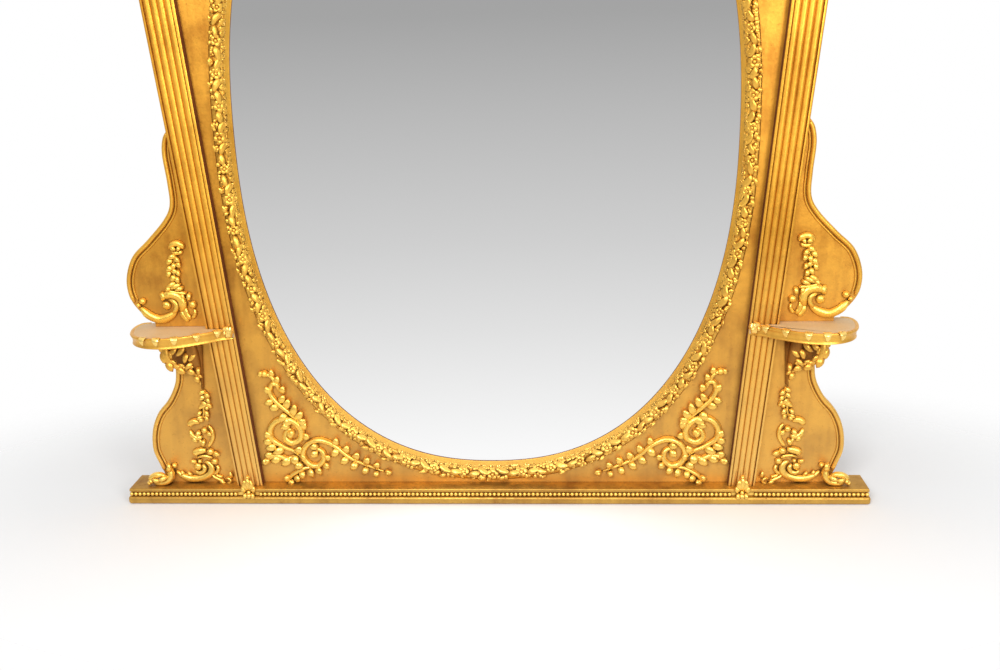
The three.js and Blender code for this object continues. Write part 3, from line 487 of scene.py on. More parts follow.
def ball_mould(around, rings):
    if (around, rings) not in ball_moulds:
        bm = bmesh.new()
        bmesh.ops.create_uvsphere(bm, u_segments=around, v_segments=rings, radius=1)
        ball_moulds[around, rings] = bpy.data.meshes.new("mould")
        bm.to_mesh(ball_moulds[around, rings])
        bm.free()
    return ball_moulds[around, rings]


def fresh_ball(bm, around, rings):
    before = len(bm.verts)
    bm.from_mesh(ball_mould(around, rings))
    bm.verts.ensure_lookup_table()
    return bm.verts[before:]


def drawn_ball(bm, path, width, height, swell=swell_stem, around=8, rings=12, dent=0.0):
    made = fresh_ball(bm, around, rings)
    stations = {}
    for vert in made:
        share = round(math.acos(max(-1.0, min(1.0, vert.co.z))) / math.pi, 4)
        if share not in stations:
            ahead = onward(path, share, 0.02)
            side = Vector((-ahead.y, ahead.x, 0)).normalized()
            stations[share] = (along(path, share), side, swell(share) if 0.001 < share < 0.999 else 0.0)
        centre, side, size = stations[share]
        ring = math.hypot(vert.co.x, vert.co.y)
        across, over = (vert.co.x / ring, vert.co.y / ring) if ring > 1e-4 else (0.0, 0.0)
        rise = over * (1 - dent * max(0.0, 1 - 2.2 * abs(across))) if over > 0 else over * 0.5
        vert.co = centre - side * (across * width / 2 * size) + Vector((0, 0, rise * height * size))
    return made


def leaf(bm, x, z, depth, heading, length, width, bend=0.0, rise=4.0, dent=0.45, rings=6):
    path = heading_path(x, z, depth, heading, length, bend, rise * 0.8)
    return drawn_ball(bm, path, width, rise, swell_leaf, 8, rings, dent)


def berry(bm, x, z, depth, radius, rise=None):
    made = fresh_ball(bm, 8, 6)
    for vert in made:
        across, upward, forward = vert.co
        vert.co = (x + radius * across, z + radius * upward, depth + (rise or radius) * forward)
    return made


def flower(bm, x, z, depth, radius, turn, rise, petals=5):
    for petal in range(petals):
        heading = turn + 360 * petal / petals
        leaf(bm, x, z, depth, heading, radius, radius * 0.95, 0, rise, 0.5, 5)
    berry(bm, x, z, depth + rise, radius * 0.27)


def acanthus(bm, path, spread, depth, pairs, rise, width):
    drawn_ball(bm, path, width, rise, swell_tail, 8, 10)
    for pair in range(pairs):
        share = (pair + 0.35) / pairs
        root = along(path, share)
        heading = bearing(path, share, 0.05)
        length = spread * (0.55 + 0.6 * math.sin(math.pi * (0.25 + 0.6 * share)))
        for side in (1, -1):
            leaf(bm, root.x, root.y, depth, heading + side * 62, length, length * 0.46, -side * 38, rise)
    tip = along(path, 0.9)
    leaf(bm, tip.x, tip.y, depth, heading, spread * 0.8, spread * 0.4, 0, rise)


# %% [markdown]
# From the bench to the frame
#
# Pieces are modelled lying on the bench, face up, and in millimetres. The last step stands
# them up against the wall, gives each point a "relief" value, which says how far it is from
# the bed to the highest point and drives the dark hollows in the gilding, toning plus painted
# shade, and writes the mirror-image copies, whose faces are turned over so that they still point outwards.

# %% Finishing a piece
STAND_UP = Matrix(((MM, 0, 0, 0), (0, 0, -MM, WALL * MM), (0, MM, 0, 0), (0, 0, 0, 1)))
SIGHT_CENTRE = 675.3
# Each copy of a form: what its name gains, and whether it is turned over across and upright.
ONE = (("", 1, 1),)
PAIR = (("_right", 1, 1), ("_left", -1, 1))
CORNERS = (("_lower_right", 1, 1), ("_upper_right", 1, -1), ("_lower_left", -1, 1), ("_upper_left", -1, -1))


def stand(bm, name, materials, slot, stands_for, bed=None, rise=1.0, across=1, upright=1, sharp=None):
    work = bm.copy()
    if bed is not None:
        carved = work.verts.layers.float.new("relief")
        for vert in work.verts:
            vert[carved] = max(0.0, min(1.0, (vert.co.z - bed) / rise))
    if across < 0:
        bmesh.ops.scale(work, vec=(-1, 1, 1), verts=work.verts)
    if upright < 0:
        bmesh.ops.scale(work, vec=(1, -1, 1), verts=work.verts)
        bmesh.ops.translate(work, vec=(0, 2 * SIGHT_CENTRE, 0), verts=work.verts)
    if across * upright < 0:
        bmesh.ops.reverse_faces(work, faces=work.faces)
    bmesh.ops.transform(work, matrix=STAND_UP, verts=work.verts)
    mesh = bpy.data.meshes.new(name)
    work.to_mesh(mesh)
    work.free()
    mesh.shade_smooth()
    if sharp:
        mesh.set_sharp_from_angle(angle=math.radians(sharp))
    piece = bpy.data.objects.new(name, mesh)
    bpy.context.scene.collection.objects.link(piece)
    for material in materials:
        mesh.materials.append(material)
    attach(piece, "frame")
    if stands_for:
        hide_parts(*stands_for)
    return piece


def stand_copies(bm, copies, name, materials, slot, node, **facts):
    for suffix, across, upright in copies:
        stands_for = [node + suffix] if node else []
        stand(bm, name + suffix, materials, slot, stands_for, across=across, upright=upright, **facts)
    print(name, "x", len(copies), "has", len(bm.faces), "faces")
    bm.free()


def press(bm, copies, name, node, bed, rise):
    stand_copies(bm, copies, name, [ornament_gold], "bright_gilt", node, bed=bed, rise=rise)


def points_of(items):
    return [item for item in items if isinstance(item, bmesh.types.BMVert)]


def thicken(bm, faces, reach):
    made = bmesh.ops.extrude_face_region(bm, geom=faces)["geom"]
    bmesh.ops.translate(bm, vec=reach, verts=points_of(made))
    bmesh.ops.recalc_face_normals(bm, faces=bm.faces)


def flat_face(bm, corners):
    return bm.faces.new([bm.verts.new(corner) for corner in corners])


print("copies across and upright:", [name for name, across, upright in PAIR + CORNERS])

# %% [markdown]
# The sight: slip and garland round an oval
#
# The glass is framed by a thin plain slip and then by a garland of little roses and leaves.
# Both follow the same oval, which is a little squarer than an ellipse. The slip's section is
# spun into a full ring, and the ring is then laid on the oval: every vertex keeps its
# distance from the line and moves to the same share of the way round. The garland is pressed
# straight, leaf by leaf, and laid round with the same function, as a frame maker bends warm
# composition. Its order is drawn with a fixed seed, because a real one never quite repeats.

# %% The oval by its own length
SIGHT_WIDE, SIGHT_TALL, FULLNESS = 429.0, 605.0, 2.32


def oval_table(steps=1440):
    table, lengths = [], [0.0]
    for step in range(steps + 1):
        angle = 2 * math.pi * step / steps - math.pi / 2
        across, upward = math.cos(angle), math.sin(angle)
        across = math.copysign(abs(across) ** (2 / FULLNESS), across)
        upward = math.copysign(abs(upward) ** (2 / FULLNESS), upward)
        slope = Vector((
            math.copysign(abs(across) ** (FULLNESS - 1), across) / SIGHT_WIDE,
            math.copysign(abs(upward) ** (FULLNESS - 1), upward) / SIGHT_TALL,
        )).normalized()
        point = Vector((SIGHT_WIDE * across, SIGHT_CENTRE + SIGHT_TALL * upward))
        if table:
            lengths.append(lengths[-1] + (point - table[-1][0]).length)
        table.append((point, slope))
    return table, lengths


oval, reached = oval_table()
oval_length = reached[-1]


def on_oval(distance, offset):
    distance %= oval_length
    here = min(bisect.bisect_right(reached, distance), len(oval) - 1) - 1
    share = (distance - reached[here]) / max(reached[here + 1] - reached[here], 1e-6)
    point = oval[here][0].lerp(oval[here + 1][0], share)
    slope = oval[here][1].lerp(oval[here + 1][1], share).normalized()
    return point + slope * offset


print("the sight is", round(oval_length), "mm round")

# %% Slip moulding
SPUN = 1000.0  # the radius of the ring before it is laid on the oval
SLIP_EDGE = 2.1  # what lies nearer to the glass than this gets the painted shadow


def ring_on_oval(section, steps=288):
    bm = bmesh.new()
    ring = [bm.verts.new((SPUN + offset, 0, depth)) for offset, depth in section]
    edges = [bm.edges.new((ring[k], ring[(k + 1) % len(ring)])) for k in range(len(ring))]
    bmesh.ops.spin(
        bm, geom=ring + edges, cent=(0, 0, 0), axis=(0, 0, 1), angle=2 * math.pi, steps=steps, use_merge=True,
    )
    bmesh.ops.remove_doubles(bm, verts=bm.verts, dist=0.001)
    # Faces nearer the glass than SLIP_EDGE take the painted shadow.
    for face in bm.faces:
        in_shadow = all(math.hypot(vert.co.x, vert.co.y) < SPUN + SLIP_EDGE for vert in face.verts)
        face.material_index = int(in_shadow)
    for vert in bm.verts:
        share = (math.atan2(vert.co.y, vert.co.x) / (2 * math.pi)) % 1
        offset = math.hypot(vert.co.x, vert.co.y) - SPUN
        point = on_oval(share * oval_length, offset)
        vert.co = Vector((point.x, point.y, vert.co.z))
    bmesh.ops.recalc_face_normals(bm, faces=bm.faces)
    return bm


# The face that looks at the glass is painted near-black as a painted shadow: a dark line, doubled by its
# reflection.
slip = [(2, 19), (10, 19), (10, 31.4), (9, 31.6), (7.4, 29.6), (5.4, 25.6), (3.0, 21.6), (2, 20.8)]
bm = ring_on_oval(slip)
stand_copies(bm, ONE, "slip", [edge_gold, painted_shadow_side], "gilt", "slip_moulding", sharp=50)

# %% Garland of roses and leaves
GARLAND_STEP, GARLAND_MIDDLE, GARLAND_BED = 17.5, 18.5, 31.3
GARLAND_NEAR, GARLAND_FAR = 6.8, 33.0  # how near to the glass and how far from it a leaf may reach


def lay_garland(seed, first, last):
    chance = random.Random(seed)
    bm = bmesh.new()
    place, turn = first, 0
    while place < last:
        middle = GARLAND_MIDDLE + chance.uniform(-2.5, 2.5)
        side = 1 if turn % 2 else -1
        lean = chance.uniform(30, 60) * side
        if turn % 3 == 0:
            flower(bm, place, middle, 34, chance.uniform(10, 13), chance.uniform(0, 72), 7)
        else:
            length = chance.uniform(24, 30)
            leaf(bm, place - 10, middle - side * 8, 35, lean, length, chance.uniform(10, 13), -lean, 8)
            leaf(bm, place + 7, middle + side * 8, 34, 180 - lean, chance.uniform(15, 20), 9, lean * 0.8, 6.5)
            berry(bm, place + 5, middle - side * 7, 36, 3.3, 6)
        for edge in (1, -1):
            for _ in range(2):
                root = place + chance.uniform(-9, 9)
                heading = edge * chance.uniform(30, 150)
                bend = edge * chance.uniform(-50, 50)
                length = chance.uniform(11, 16)
                leaf(bm, root, middle + edge * 4, 33, heading, length, chance.uniform(6, 8), bend, 6)
        if chance.random() < 0.5:
            berry(bm, place + chance.uniform(-9, 9), middle + chance.choice((-11, 11)), 33, 2.6, 5)
        place += GARLAND_STEP
        turn += 1
    # Leaves stay under a roof that falls towards the glass, and the ground that their hollows
    # are measured from falls with it, so this piece brings its own relief, which paints its hollows darker as
    # toning and painted shade.
    carved = bm.verts.layers.float.new("relief")
    for vert in bm.verts:
        offset = max(GARLAND_NEAR, min(GARLAND_FAR, vert.co.y))
        point = on_oval(vert.co.x, offset)
        roof = min(19.3 + (offset - 2) * 2.1, 33.4 + (offset - 7.8) * 0.95)
        vert.co = Vector((point.x, point.y, max(min(GARLAND_BED, roof - 2.5), min(vert.co.z, roof))))
        ground = 31.5 - 2.4 * max(0.0, 10 - offset)
        vert[carved] = max(0.0, min(1.0, (vert.co.z - ground) / 12))
    return bm


bed_section = [(9.5, GARLAND_BED), (34, GARLAND_BED), (32, 32), (27, 33.2), (15, 33.2), (10.5, 32.4)]
bm = ring_on_oval(bed_section, 240)
stand_copies(bm, ONE, "garland_bed", [garland_gold], "bright_gilt", "garland_moulding", bed=29, rise=10)
for quarter in range(4):
    bm = lay_garland(20 + quarter, oval_length * quarter / 4, oval_length * (quarter + 1) / 4 - 6)
    stand_copies(bm, ONE, f"garland_spray_{quarter + 1}", [garland_gold], "bright_gilt", None)

# %% [markdown]
# Base: a round nosing, a sunk bed and a row of beads
#
# The base is two boards with a bed between them, and in the bed lies a string of beads,
# turned on a rod and split. On the real one every edge is soft under gesso. So each board is
# a cube drawn to size and bevelled, rounder at the foot, and each bead is its own small ball,
# because a bump map would flatten at the outline. The row stops either side of a palmette.

# %% Base boards
HALF_BASE = 686.0
BEAD, BEAD_PITCH, BEAD_HEIGHT, BEAD_DEPTH = 4.1, 7.9, 19.6, 60.2
POST_FOOT, PALMETTE_GAP = 454.5, 21.0


def board_between(bm, x0, x1, z0, z1, d0, d1, soft, segments=3):
    made = bmesh.ops.create_cube(bm, size=1)["verts"]
    bmesh.ops.scale(bm, vec=(x1 - x0, z1 - z0, d1 - d0), verts=made)
    bmesh.ops.translate(bm, vec=((x0 + x1) / 2, (z0 + z1) / 2, (d0 + d1) / 2), verts=made)
    edges = {edge for vert in made for edge in vert.link_edges}
    edges = {edge for edge in edges if max(vert.co.z for vert in edge.verts) > d1 - 0.01}
    if soft:
        bmesh.ops.bevel(
            bm, geom=list(edges), offset=soft, offset_type="OFFSET", segments=segments,
            profile=0.5, affect="EDGES", material=-1,
        )


def mark_ledges(bm):
    bm.normal_update()
    for face in bm.faces:
        face.material_index = int(face.normal.y > 0.6)


bm = bmesh.new()
board_between(bm, -HALF_BASE, HALF_BASE, 0, 15.3, 0, 65, 5.2, 5)
mark_ledges(bm)
stand_copies(bm, ONE, "base_nosing", [base_gold, ledge_gold], "aged_gilt", "base_plinth", sharp=40)
bm = bmesh.new()
board_between(bm, 7 - HALF_BASE, HALF_BASE - 7, 15.0, 24, 0, 58, 0.6)
board_between(bm, 3 - HALF_BASE, HALF_BASE - 3, 23.6, BASE_TOP, 0, 62, 2.2, 4)
mark_ledges(bm)
stand_copies(bm, ONE, "base_top_board", [base_gold, ledge_gold], "gilt", "base_board", sharp=40)

# %% Beads
bm = bmesh.new()
reach = HALF_BASE - 7
count = int(2 * reach // BEAD_PITCH)
for index in range(count + 1):
    x = -reach + 2 * reach * index / count
    if abs(abs(x) - POST_FOOT) > PALMETTE_GAP:
        berry(bm, x, BEAD_HEIGHT, BEAD_DEPTH, BEAD)
for side in (-1, 1):
    for index in range(1, 7):
        berry(bm, side * reach, BEAD_HEIGHT, BEAD_DEPTH - BEAD_PITCH * index, BEAD)
board_between(bm, -reach - 1, reach + 1, 16.6, 22.4, 2, BEAD_DEPTH - 1.4, 0)
stand_copies(
    bm, ONE, "bead_string", [ornament_gold], "bright_gilt", "base_bead_moulding", bed=55, rise=6.5, sharp=60,
)

# %% [markdown]
# Reeded posts
#
# Each post is a plank run through a moulding plane, so it has one section all the way up:
# four reeds with quirks between them. It widens as it rises and leans outwards. The section
# is drawn once as a line of edges and extruded upwards in steps, and then each vertex is
# moved to its post's own width and lean at that height. The face towards the glass is painted
# near-black brown as a painted shadow, which is the dark line beside each post.

# %% Posts
INNER_LEAN, OUTER_LEAN, POST_LENGTH = 0.07905, 0.09013, 1252.4


def post_inner(height):
    return 432.2 + (height - BASE_TOP) * INNER_LEAN


def post_outer(height):
    return 480.3 + (height - BASE_TOP) * OUTER_LEAN


def edges_between(items, verts):
    ends = set(verts)
    return [item for item in items if isinstance(item, bmesh.types.BMEdge) and ends.issuperset(item.verts)]


def reed_section(reeds=4, per_reed=10, front=48.5, quirk=4.2):
    section = [(0.0, 31.3), (0.0, front - 1.2), (0.02, front - 0.3), (0.05, front)]
    section += [(0.075, front), (0.085, front - quirk * 0.75)]
    for reed in range(reeds):
        for step in range(per_reed + 1):
            share = 0.09 + 0.82 * (reed + step / per_reed) / reeds
            height = math.sin(math.pi * step / per_reed) ** 0.55
            section.append((share, front - quirk * (0.8 - 0.8 * height)))
    section += [(0.915, front - quirk * 0.75), (0.925, front), (0.95, front), (0.98, front - 0.3)]
    section += [(1.0, front - 1.2), (1.0, 31.3)]
    return section


bm = bmesh.new()
line = [bm.verts.new((across, BOARD_FOOT, depth)) for across, depth in reed_section()]
edges = [bm.edges.new(pair) for pair in zip(line, line[1:])]
levels = 24
for level in range(levels):
    made = bmesh.ops.extrude_edge_only(bm, edges=edges)["geom"]
    moved = points_of(made)
    bmesh.ops.translate(bm, vec=(0, POST_LENGTH / levels, 0), verts=moved)
    edges = edges_between(made, moved)
# The face at the post's inner edge takes the painted shadow.
for face in bm.faces:
    face.material_index = int(all(vert.co.x < 0.001 for vert in face.verts))
for vert in bm.verts:
    inner, outer = post_inner(vert.co.y), post_outer(vert.co.y)
    vert.co.x = inner + (outer - inner) * vert.co.x
bmesh.ops.recalc_face_normals(bm, faces=bm.faces)
bm.normal_update()
if sum(face.normal.z for face in bm.faces) < 0:
    bmesh.ops.reverse_faces(bm, faces=bm.faces)
stand_copies(
    bm, PAIR, "reeded_post", [reed_gold, painted_shadow_side], "gilt", "pilaster", bed=43.6, rise=5.4, sharp=38,
)

# %% [markdown]
# Side wings
#
# A wing is a fretsawn board with a moulding bent round its edge: an outer roll, a quirk and
# a thinner inner roll. The outline is a smooth curve through a few points measured beside
# the post. The board is one face through the curve's points, extruded. Each
# roll is a long drawn-out ball that follows the same curve a few millimetres inside it.

# %% Wing outlines
WING_BACK = 13.0
WING_ROLLS = ((4.4, 30.6, 8.8, 6.0), (11.6, 30.8, 4.0, 3.2))  # inset, depth, width, height
UPPER_WING = [
    (0.6, 100), (3.7, 96), (5.7, 88.1), (6, 74.4), (7.1, 63.1), (11.9, 55.4), (22.2, 45.5),
    (31.8, 36.9), (37.2, 25.6), (37.5, 15.3), (33.5, 7.7), (27.3, 2),
]
LOWER_WING = [
    (25.4, 89.9), (26.4, 77.2), (28.8, 67.9), (35.3, 57.3), (43.9, 48), (49.8, 36.4),
    (52.2, 23.3), (50.1, 13), (47.7, 4.8),
]


def wing_line(points, foot, size, steps=60):
    spots = []
    for out, rise in points:
        height = foot + rise * size / 100
        spots.append((post_outer(height) + 0.3 + out * size / 100, height, 0))
    return [along(spots, step / steps) for step in range(steps + 1)]


def inside_line(line, inset, depth, first=0.0, last=1.0):
    kept = line[int(first * (len(line) - 1)) : int(last * (len(line) - 1)) + 1]
    moved = []
    for index, spot in enumerate(kept):
        ahead = kept[min(index + 1, len(kept) - 1)] - kept[max(index - 1, 0)]
        side = Vector((ahead.y, -ahead.x, 0)).normalized()
        moved.append((spot.x + side.x * inset, spot.y + side.y * inset, depth))
    return moved


def wing(name, line, foot, top, first, last):
    bm = bmesh.new()
    outline = [(spot.x, min(spot.y, top)) for spot in line]
    outline = [(outline[0][0], top)] + outline if top - outline[0][1] > 1 else outline
    outline += [(outline[-1][0], foot), (post_outer(foot) + 0.3, foot), (post_outer(top) + 0.3, top)]
    thicken(bm, [flat_face(bm, [(x, z, WING_BACK) for x, z in outline])], (0, 0, GROUND - WING_BACK))
    stand_copies(bm, PAIR, name + "_board", [field_gold], "gilt", name, sharp=30)
    bm = bmesh.new()
    for inset, depth, width, height in WING_ROLLS:
        drawn_ball(bm, inside_line(line, inset, depth, first, last), width, height, swell_roll, 10, 90)
    stand_copies(bm, PAIR, name + "_edge", [roll_gold], "gilt", None, bed=30, rise=5.5)


upper_line = wing_line(UPPER_WING, 338, 352)
lower_line = wing_line(LOWER_WING, BASE_TOP, 291.4)
wing("wing_upper", upper_line, 338.3, 690, 0.02, 0.86)
wing("wing_lower", lower_line, BOARD_FOOT, 321.7, 0.04, 0.96)

# %% [markdown]
# Corner sprays
#
# The four corners of the panel and the wings carry cast sprays of scrolls and leaves, laid
# on one by one and sharpened with a chisel. Each spray here is built the same way: first the
# stems and the scrolls, as balls drawn out along a few points, then the leaves that grow from
# them, then the buds. The stems decide whether the spray looks alive, so their points follow
# the real ones and the leaves are hung on afterwards.

# %% Spandrel sprays
def stem(bm, depth, width, rise, *spots, rings=14, dent=0.0):
    drawn_ball(bm, [(x, z, depth) for x, z in spots], width * 1.15, rise * 1.1, swell_stem, 8, rings, dent)


def leaves(bm, depth, rise, *facts, plump=1.4, longer=1.12):
    for x, z, heading, length, width, bend in facts:
        leaf(bm, x, z, depth, heading, length * longer, width * plump, bend, rise)


def lobes(bm, depth, rise, *facts):
    for x, z, heading, length, width in facts:
        turn = math.radians(heading)
        x, z = x - math.cos(turn) * length / 2, z - math.sin(turn) * length / 2
        leaf(bm, x, z, depth, heading, length * 1.15, width * 1.15, 0, rise, 0.35)


def berries(bm, depth, rise, *facts):
    for x, z, radius in facts:
        berry(bm, x, z, depth, radius, rise)


bm = bmesh.new()
# The tail runs in from the middle of the base and rolls up into the lower scroll.
stem(bm, 32, 10.5, 8, (199, 51), (231, 64), (266, 81), (294, 106), (321, 117), (344, 108), (354, 89),
     (345, 70), (328, 65), (315, 78), (317, 94), (329, 99), (335, 88), rings=44)
# A second stem leaves it, wraps round the upper scroll, and a third climbs on to the bud.
stem(bm, 32, 11.5, 8, (351, 71), (367, 92), (389, 103), (410, 119), (411, 141), (394, 157), (370, 156),
     (354, 139), (357, 119), (374, 112), (385, 124), (377, 138), (368, 132), rings=44)
stem(bm, 32, 9.5, 8, (354, 147), (364, 162), (381, 179), (398, 196), (406, 213), (400, 228), (389, 225),
     (388, 214), rings=26)
stem(bm, 32, 8, 7, (386, 209), (392, 226), (400, 242), (411, 247), (417, 240))
# The corner leaf and the low curl.
stem(bm, 32, 10, 8, (366, 88), (384, 79), (400, 86), (415, 83), (422, 76))
stem(bm, 32, 8, 7, (330, 61), (351, 61), (367, 53), (380, 44), (383, 36))
# Leaves hug the stems and turn away only at their tips.
leaves(
    bm, 33, 7, (364, 158, 147, 20, 9, -30), (361, 152, 170, 17, 9, -20),
    (370, 164, 125, 23, 9, -30), (378, 171, -54, 17, 9, 30), (368, 159, -34, 17, 9, 20),
    (382, 179, 131, 20, 9, -30), (390, 186, -26, 16, 9, 30), (398, 194, 4, 16, 8, -30),
    (387, 189, 105, 17, 8, 20), (402, 209, 41, 16, 8, 30), (386, 209, 127, 15, 8, -30),
    (393, 229, 123, 14, 7, -30), (400, 241, 107, 14, 7, -30), (413, 246, 23, 10, 7, 0),
    (410, 121, 41, 15, 9, 40), (408, 115, -10, 15, 9, 40), (401, 107, -26, 19, 9, 30),
    (389, 103, -44, 20, 9, 30), (354, 139, 140, 15, 9, -40), (353, 126, -168, 13, 9, -30),
    (377, 138, -126, 14, 8, 60), (373, 148, -28, 15, 8, 40), (367, 90, 137, 16, 9, -30),
    (371, 88, -105, 17, 10, 30), (377, 83, -49, 20, 10, 20), (360, 81, 165, 11, 9, 0),
    (356, 72, -47, 15, 9, 30), (396, 85, -44, 18, 9, 30), (409, 85, 27, 15, 9, -30),
    (419, 79, -34, 13, 8, 0), (329, 99, -86, 15, 8, 60), (323, 108, -31, 14, 8, 40),
    (314, 79, 160, 12, 8, -30), (317, 71, -148, 13, 8, 30), (331, 63, -132, 15, 8, 20),
    (345, 60, -121, 16, 8, 20), (359, 56, -104, 14, 8, 20), (372, 47, -123, 13, 8, 0),
    (380, 41, -7, 12, 8, 0), (381, 39, -101, 11, 8, 0), (294, 105, 125, 16, 8, -40),
    (288, 102, -76, 17, 9, 40), (277, 91, 136, 16, 9, -40), (270, 84, -61, 16, 9, 40),
    (260, 78, 143, 16, 9, -40), (254, 74, -71, 16, 9, 40), (241, 68, 143, 16, 8, -40),
    (235, 64, -79, 14, 8, 40), (222, 60, 144, 14, 8, -40), (216, 56, -83, 11, 7, 40),
    (203, 52, 177, 13, 7, 0),
    plump=1.75, longer=1.25,
)
berries(
    bm, 35, 7, (412, 248, 7), (422, 76, 6.5), (330, 88, 6), (371, 132, 6.5), (418, 90, 5), (381, 34, 4.5),
    (237, 77, 4.5), (196, 50, 5),
)
press(bm, CORNERS, "spandrel_spray", "spandrel_ornament", 30.5, 8)

# %% [markdown]
# Wing sprays and the little foot
#
# The wings' sprays are drops: a rose at the top, husks and leaves down a thin stem, and a
# broad curl at the bottom whose tail runs out into the wing's own edge. The lower wing's edge
# ends in a foot that rolls over onto the base.

# %% Wing sprays
bm = bmesh.new()
# The rose, with the drilled eye of its heart left open between two rolled petals.
stem(bm, 32, 11, 7, (563, 481), (558, 488), (549, 492), (540, 488), (537, 481), dent=0.2)
stem(bm, 32, 8, 5, (560, 478), (553, 475), (545, 475), (539, 479))
lobes(bm, 33, 6, (556, 484, 200, 13, 8), (544, 484, -60, 10, 7))
lobes(
    bm, 32, 6.5, (557, 469, -20, 15, 9), (551, 464, 215, 14, 9), (563, 461, -50, 14, 10),
    (549, 455, 235, 13, 9), (557, 453, -80, 13, 9), (564, 448, -40, 15, 10), (558, 443, 205, 14, 9),
    (567, 439, -80, 14, 9), (551, 440, 240, 13, 8), (560, 431, -70, 14, 9), (554, 428, 245, 14, 9),
    (564, 418, -29, 20, 8), (557, 415, -25, 21, 8), (551, 410, -18, 16, 8), (571, 411, -60, 12, 8),
)
stem(bm, 32, 4, 4, (550, 478), (555, 462), (560, 446), (557, 428), (556, 414))
stem(bm, 33, 7, 6, (579, 410), (571, 406), (560, 403), (548, 402), (539, 400))
lobes(
    bm, 32, 6, (584, 398, 250, 15, 9), (536, 396, -80, 14, 8), (572, 402, -80, 12, 8), (548, 397, 240, 13, 8),
)
stem(bm, 33, 14, 8, (586, 386), (583, 395), (571, 399), (558, 396), (550, 387), (550, 375), (556, 366),
     dent=0.25)
stem(bm, 33, 8, 8, (575, 390), (566, 388), (560, 380), (563, 370), (571, 364), dent=0.2)
stem(bm, 33, 14, 8, (561, 374), (567, 364), (578, 357), (590, 353), (601, 354), (613, 360), (622, 369),
     (629, 378), dent=0.25)
stem(bm, 32, 9, 6, (546, 377), (546, 367), (543, 358), (537, 353), dent=0.4)
stem(bm, 32, 8, 6, (553, 370), (552, 361), (547, 353), (541, 350), dent=0.4)
stem(bm, 32, 6, 5, (531, 373), (528, 366), (531, 358), (537, 355))
berries(bm, 34, 6, (579, 379, 8.5), (622, 387, 6.5), (630, 380, 4.5), (531, 380, 7.5), (553, 482, 3))
press(bm, PAIR, "drop_spray_upper", "wing_spray_upper", 30.5, 9)

bm = bmesh.new()
stem(bm, 32, 9, 6, (543, 178), (535, 185), (525, 188), (517, 180), dent=0.2)
stem(bm, 32, 4, 4, (528, 216), (526, 204), (531, 192), (533, 178), (535, 166), (539, 156))
lobes(
    bm, 32, 6, (531, 213, -20, 13, 8), (524, 208, 215, 13, 8), (532, 203, -40, 13, 8), (523, 198, 230, 12, 8),
    (531, 192, 200, 13, 8), (541, 172, -60, 12, 7), (528, 172, 235, 14, 8), (541, 163, -20, 12, 7),
    (529, 163, 240, 12, 7), (548, 131, -60, 14, 9), (528, 131, 215, 13, 8), (557, 120, 230, 14, 8),
)
stem(bm, 33, 11, 8, (543, 151), (552, 155), (560, 152), (566, 145), dent=0.2)
stem(bm, 33, 9, 7, (564, 138), (560, 127), (551, 122), (541, 125), dent=0.25)
stem(bm, 32, 7, 6, (529, 148), (522, 136), (522, 121), (528, 110), (534, 102), dent=0.2)
stem(bm, 32, 6, 5, (549, 121), (544, 112), (541, 103))
stem(bm, 33, 12, 8, (536, 97), (546, 96), (556, 93), (563, 88), dent=0.25)
stem(bm, 32, 6, 5, (558, 80), (547, 85), (535, 84), (526, 80))
stem(bm, 33, 12, 8, (544, 73), (535, 71), (530, 62), (533, 51), (542, 44), (554, 40), (567, 39), (579, 41),
     (591, 47), (601, 56), dent=0.25, rings=22)
stem(bm, 33, 8, 7, (563, 57), (556, 51), (547, 53), (543, 61), (548, 69), dent=0.2)
stem(bm, 32, 7, 5, (520, 67), (518, 58), (523, 51), (531, 48))
stem(bm, 32, 7, 6, (534, 50), (526, 42), (517, 37), (507, 32))
stem(bm, 32, 5, 5, (525, 48), (518, 44), (510, 42))
stem(bm, 32, 5, 6, (508, 37), (501, 40), (496, 35), (499, 30), (506, 30))
lobes(bm, 32, 6, (494, 46, 80, 14, 7), (513, 33, 200, 14, 7), (519, 90, 195, 15, 9), (572, 48, 60, 12, 7))
lobes(bm, 32, 6, (562, 74, 20, 13, 8), (540, 113, -80, 13, 7), (586, 50, 75, 11, 7))
berries(
    bm, 34, 6, (540, 158, 5.5), (536, 137, 6.5), (529, 94, 7), (551, 75, 4.5), (556, 64, 8), (601, 66, 5.5),
    (610, 60, 7), (523, 74, 7), (526, 182, 4.5),
)
press(bm, PAIR, "drop_spray_lower", "wing_spray_lower", 30.5, 9)

# %% Foot and palmette
bm = bmesh.new()
stem(bm, 40, 12, 12, (612, 74), (607, 60), (607, 48), (613, 39), (624, 35), (636, 36), (645, 40),
     dent=0.2, rings=18)
stem(bm, 43, 9, 10, (614, 47), (624, 51), (635, 51), (644, 46), (648, 39), dent=0.3)
lobes(bm, 44, 9, (619, 46, -20, 20, 8), (631, 42, 20, 18, 8), (606, 66, 100, 18, 9))
berry(bm, 644, 40, 47, 5.5, 7)
berry(bm, 648, 36, 47, 4.5, 6)
press(bm, PAIR, "volute_foot_leaf", "volute_foot", 34, 18)

bm = bmesh.new()
leaves(
    bm, 58, 8, (455, 24, 90, 28, 9, 0), (453, 24, 122, 25, 8, -55), (457, 24, 58, 25, 8, 55),
    (451, 24, 150, 14, 7, -70), (459, 24, 30, 14, 7, 70), (455, 24, -90, 11, 7, 0),
    (453, 22, -150, 12, 7, 60), (457, 22, -30, 12, 7, -60),
)
berry(bm, 455, 53, 60, 4.2, 5)
berry(bm, 455, 24, 61, 4.6, 6)
bmesh.ops.recalc_face_normals(bm, faces=bm.faces)
press(bm, PAIR, "palmette_leaf", "palmette", 56, 11)

